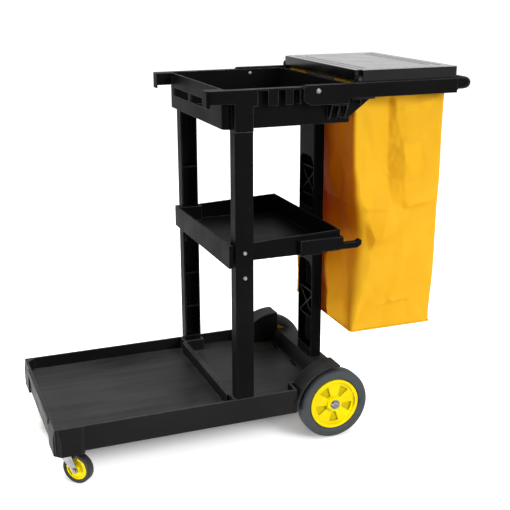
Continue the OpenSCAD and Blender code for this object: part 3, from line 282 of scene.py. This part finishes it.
def bag_vinyl():
    """Yellow coated cloth that lets light through, with a painted shade: a darker, redder orange high on
    the wall that faces the front.
    """
    g = Graph("yellow_coated_cloth")
    clouds = g.noise(7, detail=4, rough=0.6)
    colour = g.mix(g.span(clouds, 0.35, 0.7, 0, 1), (0.93, 0.6, 0.022), (0.97, 0.67, 0.034))
    scuffs = g.noise(38, detail=5, rough=0.7, vector=g.stretched((1, 1, 0.35)))
    colour = g.mix(g.span(scuffs, 0.6, 0.75, 0, 0.22), colour, (1.0, 0.7, 0.06))
    # Painted shade: the wall that faces the front is coloured a darker, redder orange, more so higher up,
    # fading out just below the mouth.
    front = g.span(g.parts(g.facing)["X"], -0.95, -0.6, 1, 0)
    height = g.parts(g.place)["Z"]
    painted_shade = g.math("MULTIPLY", front, g.span(height, 0.3, 0.62, 0.1, 0.85))
    painted_shade = g.math("MULTIPLY", painted_shade, g.span(height, 0.86, 0.9, 1, 0))
    colour = g.mix(painted_shade, colour, (0.9, 0.34, 0.004))
    across = g.bands(WEAVE_SCALE, "DIAGONAL", g.stretched((1, 1, 0)))
    upright = g.bands(WEAVE_SCALE, "Z", g.place)
    weave = g.bump(g.math("ADD", across, upright), 0.05, 0.0003)
    crumple = g.noise(55, detail=5, rough=0.6, vector=g.stretched((1, 1, 0.6)))
    normal = g.bump(crumple, 0.16, 0.003, weave)
    roughness = g.span(clouds, 0.3, 0.7, 0.42, 0.55)
    g.finish(colour, roughness, normal, Specular_IOR_Level=0.06)
    through = g.add("ShaderNodeBsdfTranslucent")
    through.inputs["Color"].default_value = (1, 0.4, 0.004, 1)
    g.link(normal, through.inputs["Normal"])
    both = g.add("ShaderNodeMixShader")
    both.inputs["Fac"].default_value = SEE_THROUGH
    g.link(g.shader.outputs["BSDF"], both.inputs[1])
    g.link(through.outputs["BSDF"], both.inputs[2])
    g.link(both.outputs["Shader"], g.tree.nodes["Material Output"].inputs["Surface"])
    return g.material


# In metres: only the lid's raised ribs lie above this height, and within this distance of the cart's middle
# the rear wheel hubs have only their pockets and inner sides.
LID_RIBS_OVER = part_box("lid")[1].z - 0.0009
HUB_POCKETS_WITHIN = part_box("right_wheel_hub")[1].y - 0.0122

PLASTIC = moulded_black(
    "moulded_black_plastic", dark=0.003, dust_and_sheen_grey=0.005, smooth=0.36, rough=0.48, gloss=0.018
)
DECK_PLASTIC = moulded_black(
    "dust_and_sheen_black_plastic", dark=0.006, dust_and_sheen_grey=0.034, smooth=0.36, rough=0.5, gloss=0.055
)
LID_PLASTIC = moulded_black(
    "smooth_black_plastic",
    dark=0.0025,
    dust_and_sheen_grey=0.08,
    smooth=0.13,
    rough=0.2,
    gloss=0.2,
    edge_size=0.0005,
    ribs_over=LID_RIBS_OVER,
)
WHEEL_RUBBER = rubber("grey_wheel_rubber", dark=(0.02, 0.025, 0.03), pale=(0.036, 0.043, 0.049))
CASTER_RUBBER = rubber("black_caster_rubber", dark=(0.007, 0.006, 0.005), pale=(0.016, 0.014, 0.012))
PAINTED = painted_steel()
WHEEL_YELLOW = wheel_yellow("wheel_yellow_plastic", HUB_POCKETS_WITHIN)
CASTER_YELLOW = wheel_yellow("caster_yellow_plastic")
ZINC = zinc_steel("zinc_plated_steel", dark=0.17, pale=0.28, smooth=0.3, rough=0.42)
DULL_ZINC = zinc_steel("dull_zinc_screws", dark=0.13, pale=0.22, smooth=0.4, rough=0.55)
VINYL = bag_vinyl()


def material_of(name):
    """The material of a node, by its name."""
    if name.endswith("tyre"):
        return CASTER_RUBBER if "caster" in name else WHEEL_RUBBER
    if name.endswith("hub"):
        return CASTER_YELLOW if "caster" in name else WHEEL_YELLOW
    if name == "bag":
        return VINYL
    if name == "lid":
        return LID_PLASTIC
    if name == "base_platform":
        return DECK_PLASTIC
    if name.endswith(("screws", "bolts", "nuts", "caps")):
        return DULL_ZINC
    if name in ("bag_front_rod", "bag_rear_rod", "lid_hinge_pins"):
        return PAINTED
    moulded = ("post", "shelf", "hook", "tray", "arm", "handle")
    return PLASTIC if name.endswith(moulded) else ZINC


for name, node in nodes.items():
    node.data.materials.clear()
    node.data.materials.append(material_of(name))


# Meshes


def piece(name, points, faces, material, body):
    """A smooth mesh that rides on a body."""
    mesh = bpy.data.meshes.new(name)
    mesh.from_pydata(points, [], faces)
    mesh.materials.append(material)
    mesh.polygons.foreach_set("use_smooth", [True] * len(mesh.polygons))
    made = bpy.data.objects.new(name, mesh)
    scene.collection.objects.link(made)
    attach(made, body)
    return made


def faces_between(rows, count, closed=False):
    """Four-sided faces between rings of points, and from the last ring to the first if closed."""
    faces = []
    for row in range(rows if closed else rows - 1):
        after = (row + 1) % rows
        for k in range(count):
            ahead = (k + 1) % count
            faces.append((row * count + k, row * count + ahead, after * count + ahead, after * count + k))
    return faces


# Soft bag

# Sizes are in millimetres. A point of the bag lies x along the cart, y across it and w below the
# bag's mouth. t is that depth as a share of the bag's height, 0 at the mouth and 1 at the bottom.
BAG_TOP = 914
BAG_LOW = 273
BAG_TALL = BAG_TOP - BAG_LOW
BAG_FRONT = 790
BAG_LONG = 250
BAG_HALF_WIDE = 203

# Corners of the bag, seen from above: t, x, y, corner radius.
NEAR_FRONT = [
    (0, 788, -203, 6),
    (0.14, 785, -204, 8),
    (0.3, 787, -204, 9),
    (0.42, 796, -204, 16),
    (0.52, 807, -203, 26),
    (0.62, 812, -202, 34),
    (0.8, 803, -199, 34),
    (0.93, 798, -196, 20),
    (1, 797, -194, 9),
]
NEAR_BACK = [(0, 1041, -203, 8), (0.3, 1040, -204, 12), (0.7, 1036, -203, 12), (1, 1033, -195, 9)]
FAR_BACK = [(0, 1041, 203, 8), (0.4, 1037, 202, 18), (0.7, 1037, 202, 18), (1, 1033, 195, 10)]
FAR_FRONT = [
    (0, 788, 203, 8),
    (0.1, 790, 150, 20),
    (0.5, 799, 142, 26),
    (0.88, 799, 168, 20),
    (1, 802, 176, 13),
]
LEVELS = 140
SIDE_STEPS = 72
END_STEPS = 46
CORNER_STEPS = 6

# The pleat down each side: w with the x of its outer edge, with the x of its root and with its
# depth, and how far it reaches to the front of its root and to the back of its edge.
PLEAT_EDGE = [(34, 898), (84, 905), (141, 921), (199, 930), (290, 935), (330, 938)]
PLEAT_ROOT = [(34, 887), (114, 888), (197, 890), (281, 897), (330, 910)]
PLEAT_DEPTH = [(0, 4), (40, 12), (200, 16), (270, 13), (314, 0)]
PLEAT_TO_FRONT = 70
PLEAT_TO_BACK = 44
# Creases in the pleat: their height, their size along and down, how far they reach to the front of its
# root and to the back of its edge, and the w where they start and how far down they go.
PLEAT_CREASE = 3.6
PLEAT_CREASE_LONG = 11
PLEAT_CREASE_TALL = 17
CREASED_TO_FRONT = 26
CREASED_TO_BACK = 14
CREASED_TOP = 20
CREASED_TALL = 290

# A three-cornered bulge below the pleat: its two upper corners (x, w), the outward directions of the
# two edges that run down from them, the w of its lowest corner, and how far past each it drops off.
WEDGE_FRONT = (889, 300)
WEDGE_BACK = (940, 320)
WEDGE_FRONT_OUT = (-88 / 92, -26 / 92)
WEDGE_BACK_OUT = (72 / 105, 76 / 105)
WEDGE_LOW = 390
WEDGE_FRONT_DROP = 64
WEDGE_BACK_DROP = 30
WEDGE_LOW_DROP = 40
# Its height, and how far below its upper corners it reaches that height
WEDGE_HIGH = 22
WEDGE_GROWS = 80

# Sharp folds: start, end, reach below, reach above, height. A fold that runs straight down has its
# reach to the front first and its reach to the back second. A height below 0 is a groove.
SIDE_FOLDS = [
    # Across the middle
    ((940, 312), (1036, 297), 9, 25, 8.5),
    ((946, 325), (1036, 311), 9, 7, -2),
    ((826, 312), (886, 312), 8, 14, 4),
    # Down from the wedge
    ((938, 326), (937, 444), 26, 12, 3),
    ((937, 444), (913, 566), 24, 14, 3),
    # Above the bottom seam
    ((880, 576), (906, 563), 7, 13, 5.4),
    ((906, 563), (958, 566), 7, 13, 6),
    ((888, 579), (954, 575), 7, 6, -3),
    # Into the lower corners
    ((796, 638), (862, 538), 24, 28, -3.4),
    ((1030, 638), (976, 560), 20, 20, -2.6),
    # Below the mouth
    ((925, 62), (1012, 48), 8, 20, 5.4),
    ((936, 143), (980, 139), 7, 16, 5),
    ((815, 40), (850, 150), 18, 22, 3.4),
]
END_FOLDS = [
    # Across, and down the middle
    ((-180, 305), (190, 309), 12, 12, -3),
    ((6, 20), (-2, 300), 14, 14, -3.4),
    # In from the upper corners
    ((-160, 30), (-40, 250), 24, 24, 3),
    ((160, 40), (50, 240), 24, 24, 2.6),
    # Into the lower corners
    ((-192, 636), (-80, 520), 22, 22, -3),
    ((192, 636), (80, 520), 22, 22, -3),
]
FOLD_FADES = 14

# The end walls are hollow above and bulge below, over this half width. The sides bulge below too.
# Each bulge has its height, the w where it starts and how far down it goes.
END_HALF = 200
END_HOLLOW = 9
END_HOLLOW_TALL = 400
END_BELLY = 6
END_BELLY_TOP = 350
END_BELLY_TALL = 290
SIDE_BELLY = 5
SIDE_BELLY_TOP = 320
SIDE_BELLY_TALL = 320

# Uneven cloth: the height of each pattern of noise, and its size level and upright.
RIPPLE = (1.8, 70, 110)
FINE_RIPPLE = (0.6, 27, 27)
CREASE = (17, 90, 120)
CREASE_SHIFT = 5
CREASE_INWARD = 3.5

# Strips along the mouth and the bottom where the folds fade out, and along the mouth where the sides
# sag, as shares of the height, and that sag.
STEADY_STRIP = 0.03
SAG_STRIP = 0.06
MOUTH_SAG = 7


def along(table, t):
    """Smooth values between the rows (t, value, value...) of a short table."""
    for low, high in zip(table, table[1:]):
        if t <= high[0]:
            k = (t - low[0]) / (high[0] - low[0])
            k = k * k * (3 - 2 * k)
            return [a + (b - a) * k for a, b in zip(low[1:], high[1:])]
    return list(table[-1][1:])


def straight(points, x):
    """Straight lines between the points (x, value) of a short list."""
    for (x_low, low), (x_high, high) in zip(points, points[1:]):
        if x <= x_high:
            return low + (high - low) * max(x - x_low, 0) / (x_high - x_low)
    return points[-1][1]


def arch(k):
    """A half wave that is 0 at both ends of 0 to 1, and beyond them."""
    return math.sin(math.pi * min(max(k, 0), 1))


def fading(past, reach):
    """1 as far as an edge, falling to 0 at a reach past it."""
    return max(0, 1 - max(past, 0) / reach)


def fold(x, w, start, end, below, above, high):
    """How far a sharp fold from start to end stands out at x and w."""
    run_x, run_w = end[0] - start[0], end[1] - start[1]
    length = math.hypot(run_x, run_w)
    off = ((x - start[0]) * run_w - (w - start[1]) * run_x) / length
    k = ((x - start[0]) * run_x + (w - start[1]) * run_w) / length ** 2
    past_ends = max(-k, k - 1) * length
    return high * fading(past_ends, FOLD_FADES) * fading(abs(off), below if off < 0 else above)


def past_edge(x, w, corner, out):
    """How far x and w lie past the edge that runs from a corner and faces out."""
    return (x - corner[0]) * out[0] + (w - corner[1]) * out[1]


def wedge(x, w):
    """The bulge below the pleat: it grows downwards to its lowest corner, and drops off to both sides."""
    grown = (w - straight([WEDGE_FRONT, WEDGE_BACK], x)) / WEDGE_GROWS
    fall = fading(past_edge(x, w, WEDGE_BACK, WEDGE_BACK_OUT), WEDGE_BACK_DROP)
    fall *= fading(past_edge(x, w, WEDGE_FRONT, WEDGE_FRONT_OUT), WEDGE_FRONT_DROP)
    fall *= fading(w - WEDGE_LOW, WEDGE_LOW_DROP)
    return WEDGE_HIGH * min(max(grown, 0), 1) * fall


def pleat(x, w):
    """The pleat: deep at its root, proud at its outer edge, and creased between them."""
    edge, root, deep = straight(PLEAT_EDGE, w), straight(PLEAT_ROOT, w), straight(PLEAT_DEPTH, w)
    profile = [(root - PLEAT_TO_FRONT, 0), (root, -deep), (edge, deep / 4), (edge + PLEAT_TO_BACK, 0)]
    front, back = root - CREASED_TO_FRONT, edge + CREASED_TO_BACK
    creased = arch((x - front) / (back - front)) * arch((w - CREASED_TOP) / CREASED_TALL)
    grain = noise.noise(Vector((x / PLEAT_CREASE_LONG, w / PLEAT_CREASE_TALL, 3)))
    return straight(profile, x) + PLEAT_CREASE * creased * grain


def side_relief(x, w):
    """How far the side of the bag stands out at x and w."""
    folds = sum(fold(x, w, *row) for row in SIDE_FOLDS)
    low = arch((w - SIDE_BELLY_TOP) / SIDE_BELLY_TALL)
    belly = SIDE_BELLY * low * arch((x - BAG_FRONT) / BAG_LONG)
    return pleat(x, w) + wedge(x, w) + folds + belly


def end_relief(y, w):
    """How far the front or back wall of the bag stands out at y and w."""
    folds = sum(fold(y, w, *row) for row in END_FOLDS)
    across = arch((y + END_HALF) / (2 * END_HALF))
    hollow = -END_HOLLOW * arch(w / END_HOLLOW_TALL) * across
    belly = END_BELLY * arch((w - END_BELLY_TOP) / END_BELLY_TALL) * across
    return hollow + belly + folds


def rumple(spot, pattern, shift=0):
    """Noise at a spot, of a pattern's height and size."""
    high, level, upright = pattern
    return high * noise.noise(Vector((spot.x / level, spot.y / level, spot.z / upright + shift)))


def creases(spot, across):
    """Sharp creases, which fade towards the corners of a wall."""
    return min(1, 2 * arch(across)) * (abs(rumple(spot, CREASE, CREASE_SHIFT)) - CREASE_INWARD)


def bag_loop(t):
    """Points round the bag at t, each with its outward direction and its wall, or None at a corner."""
    rows = [along(table, t) for table in (NEAR_FRONT, NEAR_BACK, FAR_BACK, FAR_FRONT)]
    corners = [Vector(row[:2]) for row in rows]
    loop = []
    for k in range(4):
        here, ahead, behind = corners[k], corners[(k + 1) % 4], corners[k - 1]
        run_in, run_out = (here - behind).normalized(), (ahead - here).normalized()
        turn = run_in.angle(run_out)
        trim = rows[k][2] * math.tan(turn / 2)
        start, out_in = here - run_in * trim, Vector((run_in.y, -run_in.x))
        out_out = Vector((run_out.y, -run_out.x))
        centre = start - out_in * rows[k][2]
        for step in range(CORNER_STEPS):
            out = out_in.lerp(out_out, step / CORNER_STEPS).normalized()
            loop.append((centre + out * rows[k][2], out, None))
        wall, steps = ("end", END_STEPS) if k % 2 else ("side", SIDE_STEPS)
        first = here + run_out * trim
        next_turn = run_out.angle((corners[(k + 2) % 4] - ahead).normalized())
        last = ahead - run_out * rows[(k + 1) % 4][2] * math.tan(next_turn / 2)
        for step in range(steps):
            loop.append((first.lerp(last, step / steps), out_out, wall))
    return loop


def bag_point(point, out, wall, t):
    """A point of the loop at t, moved outwards by the folds and the unevenness of its wall."""
    w = t * BAG_TALL
    z = BAG_TOP - w
    spot = Vector((point.x, point.y, z))
    along_side = (point.x - BAG_FRONT) / BAG_LONG
    relief = rumple(spot, RIPPLE) + rumple(spot, FINE_RIPPLE)
    if wall == "side":
        relief += side_relief(point.x, w) + creases(spot, along_side)
    elif wall == "end":
        across = (point.y + BAG_HALF_WIDE) / (2 * BAG_HALF_WIDE)
        relief += end_relief(point.y, w) + creases(spot, across)
    free = min(1, t / STEADY_STRIP) * min(1, (1 - t) / STEADY_STRIP)
    moved = point + out * relief * free
    if wall == "side" and t < SAG_STRIP:
        z -= MOUTH_SAG * (1 - t / SAG_STRIP) * arch(along_side)
    return at(moved.x, moved.y, z)


# The bottom closes in rings that sag towards the middle, and is a little uneven. These sizes are in metres.
BOTTOM_RINGS = 9
BOTTOM_SAG = 0.006
BOTTOM_UNEVEN = 0.0015
CLOTH_THICK = 0.0009


def bag_shell():
    """The walls and the bottom of the bag, as one sheet with a thickness."""
    points = []
    for level in range(LEVELS + 1):
        t = level / LEVELS
        points += [bag_point(*spot, t) for spot in bag_loop(t)]
    count = len(points) // (LEVELS + 1)
    rim = points[LEVELS * count:]
    middle = sum(rim, Vector()) / count
    for ring in range(1, BOTTOM_RINGS):
        k = ring / BOTTOM_RINGS
        sag = BOTTOM_SAG * math.sin(math.pi * k / 2)
        for spot in rim:
            inward = spot.lerp(middle, k)
            inward.z += BOTTOM_UNEVEN * noise.noise(inward * 30) - sag
            points.append(inward)
    rows = LEVELS + BOTTOM_RINGS
    faces = [(a, d, c, b) for a, b, c, d in faces_between(rows, count)]
    points.append(middle - Vector((0, 0, BOTTOM_SAG)))
    last = (rows - 1) * count
    faces += [(last + k, len(points) - 1, last + (k + 1) % count) for k in range(count)]
    made = piece("bag_shell", points, faces, VINYL, "bag_frame")
    thick = made.modifiers.new("cloth_thickness", "SOLIDIFY")
    thick.thickness = CLOTH_THICK
    thick.offset = -1
    return made


# The seam round the bottom, in metres: the radius of its bead, and how far out its middle lies
SEAM_RADIUS = 0.0016
SEAM_OUT = 0.0008
SEAM_SIDES = 8


def bag_seam():
    """A round bead along the bottom edge of the bag."""
    path = []
    for spot in bag_loop(1.0):
        out = spot[1]
        path.append(bag_point(*spot, 1.0) + Vector((out.x, out.y, 0)) * SEAM_OUT)
    points = []
    for k, here in enumerate(path):
        run = (path[(k + 1) % len(path)] - path[k - 1]).normalized()
        side = run.cross(Vector((0, 0, 1))).normalized()
        up = side.cross(run)
        for step in range(SEAM_SIDES):
            turn = 2 * math.pi * step / SEAM_SIDES
            points.append(here + (side * math.cos(turn) + up * math.sin(turn)) * SEAM_RADIUS)
    faces = faces_between(len(path), SEAM_SIDES, closed=True)
    return piece("bag_bottom_seam", points, faces, VINYL, "bag_frame")


# The hems, in millimetres: the rods inside, half the length of a hem and of the slit in the front one,
# the radii of the cloth's outer and inner face, the height and length of its unevenness, and the drop
# of its underside where it is sewn.
FRONT_ROD_X = 793
REAR_ROD_X = 1036
ROD_Z = 918
HEM_HALF = 196
HEM_SLIT = 84
HEM_RADII = (6.4, 5.0)
HEM_UNEVEN = 0.5
HEM_UNEVEN_LONG = 18
HEM_DROP = 2.2
# Cosine of the slit's half angle, seen along the rod, and sine of the angle below which the hem is sewn
SLIT_FACING = 0.72
SEWN_BELOW = -0.7
HEM_STEPS = 96
HEM_TURNS = 22


def hem(name, rod_x, outward, slit):
    """The mouth of the bag, turned over a rod and sewn down; the front one is open along its middle."""

    def y_at(k):
        return -HEM_HALF + 2 * HEM_HALF * k / HEM_STEPS

    def angle_at(turn):
        return 2 * math.pi * turn / HEM_TURNS

    def open_here(k, turn):
        facing = math.cos(angle_at(turn + 0.5)) * outward
        return slit and abs(y_at(k + 0.5)) < HEM_SLIT and facing > SLIT_FACING

    def corner(layer, k, turn):
        return (layer * (HEM_STEPS + 1) + k) * HEM_TURNS + turn % HEM_TURNS

    points, faces = [], []
    for radius in HEM_RADII:
        for k in range(HEM_STEPS + 1):
            for turn in range(HEM_TURNS):
                y, angle = y_at(k), angle_at(turn)
                puff = radius + HEM_UNEVEN * noise.noise(Vector((y / HEM_UNEVEN_LONG, angle, rod_x)))
                drop = HEM_DROP if math.sin(angle) < SEWN_BELOW else 0
                z = ROD_Z + puff * math.sin(angle) - drop
                points.append(at(rod_x + puff * math.cos(angle), y, z))
    squares = [(k, turn) for k in range(HEM_STEPS) for turn in range(HEM_TURNS) if not open_here(k, turn)]
    solid = set(squares)
    for k, turn in squares:
        first, *others = (k, turn), (k, turn + 1), (k + 1, turn + 1), (k + 1, turn)
        faces.append(tuple(corner(0, *spot) for spot in (first, *others)))
        faces.append(tuple(corner(1, *spot) for spot in (first, *reversed(others))))
        rims = (
            ((k, (turn + 1) % HEM_TURNS), (k, turn + 1), (k + 1, turn + 1)),
            ((k, (turn - 1) % HEM_TURNS), (k + 1, turn), (k, turn)),
            ((k + 1, turn), (k + 1, turn + 1), (k + 1, turn)),
            ((k - 1, turn), (k, turn), (k, turn + 1)),
        )
        for beyond, a, b in rims:
            if beyond not in solid:
                faces.append((corner(0, *b), corner(0, *a), corner(1, *a), corner(1, *b)))
    made = piece(name, points, faces, VINYL, "bag_frame")
    clean = bmesh.new()
    clean.from_mesh(made.data)
    bmesh.ops.delete(clean, geom=[v for v in clean.verts if not v.link_faces], context="VERTS")
    bmesh.ops.recalc_face_normals(clean, faces=clean.faces)
    clean.to_mesh(made.data)
    clean.free()
    return made


shell = bag_shell()
front_hem = hem("bag_front_hem", FRONT_ROD_X, -1, True)
back_hem = hem("bag_back_hem", REAR_ROD_X, 1, False)
bottom_seam = bag_seam()
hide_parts("bag")
for made in (shell, front_hem, back_hem, bottom_seam):
    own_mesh(made)


# Bolt caps

# They cover the bolt ends on the tray's inner walls. Their place is in millimetres, their size in metres.
CAP_X = 672
CAP_Y = 209.1
CAP_Z = 908
CAP_RADIUS = 0.0058
CAP_HIGH = 0.0035
CAP_RINGS = 6
CAP_SIDES = 28


def bolt_cap(name, centre, out):
    """A shallow round cap that stands out towards greater y where out is 1, smaller y where it is -1."""
    points = []
    for ring in range(CAP_RINGS):
        turn = math.pi / 2 * ring / CAP_RINGS
        for step in range(CAP_SIDES):
            spin = 2 * math.pi * step / CAP_SIDES
            off = Vector((math.cos(spin), 0, math.sin(spin))) * CAP_RADIUS * math.cos(turn)
            points.append(centre + off + Vector((0, out * CAP_HIGH * math.sin(turn), 0)))
    points.append(centre + Vector((0, out * CAP_HIGH, 0)))
    faces = [face[::-out] for face in faces_between(CAP_RINGS, CAP_SIDES)]
    last, tip = (CAP_RINGS - 1) * CAP_SIDES, len(points) - 1
    faces += [(last + k, last + (k + 1) % CAP_SIDES, tip)[::-out] for k in range(CAP_SIDES)]
    faces.append(tuple(range(CAP_SIDES))[::out])
    return piece(name, points, faces, DULL_ZINC, "cart_frame")


for label, out in (("left", 1), ("right", -1)):
    bolt_cap(f"{label}_bolt_cap", at(CAP_X, -out * CAP_Y, CAP_Z), out)


# Stage, light and camera

# Sizes and places of the stage are in metres. The floor's glow is weaker under the base, and at the spots
# that the near wheel and the near caster stand on, which paints a shadow there over the real one: each spot
# has the radius of its dark part, the radius where the painted shadow ends, and the share of the glow that
# is left in the dark part.
FLOOR_SIZE = 60
FLOOR_LOW = -0.0005
BASE_SHADE = (-0.155, 0.1)
CONTACT_SHADES = [
    ((0.165, -0.2), 0.04, 0.13, 0.4),
    ((-0.49, -0.205), 0.015, 0.06, 0.6),
]


def stage_material():
    """White to the camera beyond the cart, and a pale floor whose shadow under it is partly real and partly
    painted by a weaker glow.
    """
    g = Graph("pale_floor")
    shader = g.shader
    shader.inputs["Base Color"].default_value = (0.88, 0.88, 0.88, 1)
    shader.inputs["Roughness"].default_value = 1
    shader.inputs["Specular IOR Level"].default_value = 0
    shader.inputs["Emission Color"].default_value = (1, 1, 1, 1)
    place = g.parts(g.place)
    lengthways = g.math("ABSOLUTE", g.math("SUBTRACT", place["X"], BASE_SHADE[0]))
    sideways = g.math("ABSOLUTE", g.math("SUBTRACT", place["Y"], BASE_SHADE[1]))
    off_base = g.math("ADD", sideways, g.span(lengthways, 0.31, 0.41, 0, 0.31))
    away = g.add("ShaderNodeVectorMath", operation="LENGTH")
    g.link(g.place, away.inputs[0])
    # The glow fades out under the base and is cut down round the wheels' contact spots: a painted shadow.
    near = g.span(off_base, 0.14, 0.31, 0, 0.85)
    far = g.span(away.outputs["Value"], 0.5, 3, 0, 0.15)
    glow = g.math("ADD", near, far)
    for spot, dark, clear, least in CONTACT_SHADES:
        apart = g.add("ShaderNodeVectorMath", operation="DISTANCE")
        g.link(g.place, apart.inputs[0])
        apart.inputs[1].default_value = (*spot, 0)
        glow = g.math("MULTIPLY", glow, g.span(apart.outputs["Value"], dark, clear, least, 1))
    rays = g.add("ShaderNodeLightPath")
    shown = g.math("MAXIMUM", rays.outputs["Is Camera Ray"], rays.outputs["Is Glossy Ray"])
    g.link(g.math("MULTIPLY", shown, glow), shader.inputs["Emission Strength"])
    return g.material


bpy.ops.mesh.primitive_plane_add(size=FLOOR_SIZE, location=(0, 0, FLOOR_LOW))
floor = bpy.context.object
floor.name = "studio_floor"
floor.data.materials.append(stage_material())

WHITE_ROOM = 1.0
MATT_LIGHT = 0.07


def studio_world():
    """White to the camera and in reflections, and weaker as light on matt faces."""
    world = bpy.data.worlds.new("studio")
    world.use_nodes = True
    tree = world.node_tree
    rays = tree.nodes.new("ShaderNodeLightPath")
    matt = tree.nodes.new("ShaderNodeMix")
    matt.inputs["A"].default_value = WHITE_ROOM
    matt.inputs["B"].default_value = MATT_LIGHT
    seen = tree.nodes.new("ShaderNodeMix")
    seen.inputs["B"].default_value = WHITE_ROOM
    tree.links.new(rays.outputs["Is Diffuse Ray"], matt.inputs["Factor"])
    tree.links.new(rays.outputs["Is Camera Ray"], seen.inputs["Factor"])
    tree.links.new(matt.outputs["Result"], seen.inputs["A"])
    tree.links.new(seen.outputs["Result"], tree.nodes["Background"].inputs["Strength"])
    tree.nodes["Background"].inputs["Color"].default_value = (1, 1, 1, 1)
    return world


scene.world = studio_world()


def softbox(name, place, target, size, watts, spread=180):
    """A flat lamp at a place, turned to a target, with its spread in degrees."""
    data = bpy.data.lights.new(name, "AREA")
    data.shape = "RECTANGLE"
    data.size, data.size_y = size
    data.energy = watts
    data.spread = math.radians(spread)
    lamp = bpy.data.objects.new(name, data)
    lamp.location = place
    lamp.rotation_euler = (Vector(target) - Vector(place)).to_track_quat("-Z", "Y").to_euler()
    scene.collection.objects.link(lamp)


softbox("key", place=(2.9, -5.5, 3.3), target=(0.1, 0, 0.5), size=(3.1, 3.1), watts=385)
softbox("fill", place=(-3.0, -0.4, 0.2), target=(0.24, -0.1, 0.12), size=(1.2, 0.3), watts=1.7, spread=14)
softbox("front", place=(-1.6, -0.2, 3.4), target=(0, 0, 0.7), size=(1.2, 1.2), watts=45)
softbox("top", place=(0.1, -0.3, 4.4), target=(0.1, 0, 0.3), size=(4.0, 3.0), watts=150)

# The camera looks down at the cart's near side and front end. Its place is in millimetres, its turn,
# tilt and roll are in degrees, and its focal length is in pixels of a square picture.
CAMERA_PLACE = (-283.135, -2277.653, 1185.749)
CAMERA_TURN = 21.2833
CAMERA_TILT = 16.7439
CAMERA_ROLL = -0.1314
FOCAL_PIXELS = 953.53
PICTURE_PIXELS = 510
SENSOR_WIDTH = 36


def studio_camera():
    """The camera at its place, with its axes worked out from its turn, tilt and roll."""
    turn, tilt, roll = (math.radians(angle) for angle in (CAMERA_TURN, CAMERA_TILT, CAMERA_ROLL))
    ahead = Vector((math.sin(turn) * math.cos(tilt), math.cos(turn) * math.cos(tilt), -math.sin(tilt)))
    level = Vector((math.cos(turn), -math.sin(turn), 0))
    up = level.cross(ahead)
    right = level * math.cos(roll) + up * math.sin(roll)
    top = -level * math.sin(roll) + up * math.cos(roll)
    camera = bpy.data.objects.new("camera", bpy.data.cameras.new("camera"))
    camera.data.sensor_width = SENSOR_WIDTH
    camera.data.lens = SENSOR_WIDTH * FOCAL_PIXELS / PICTURE_PIXELS
    turned = Matrix((right, top, -ahead)).transposed().to_4x4()
    camera.matrix_world = Matrix.Translation(at(*CAMERA_PLACE)) @ turned
    scene.collection.objects.link(camera)
    return camera


scene.camera = studio_camera()
scene.view_settings.view_transform = "Standard"
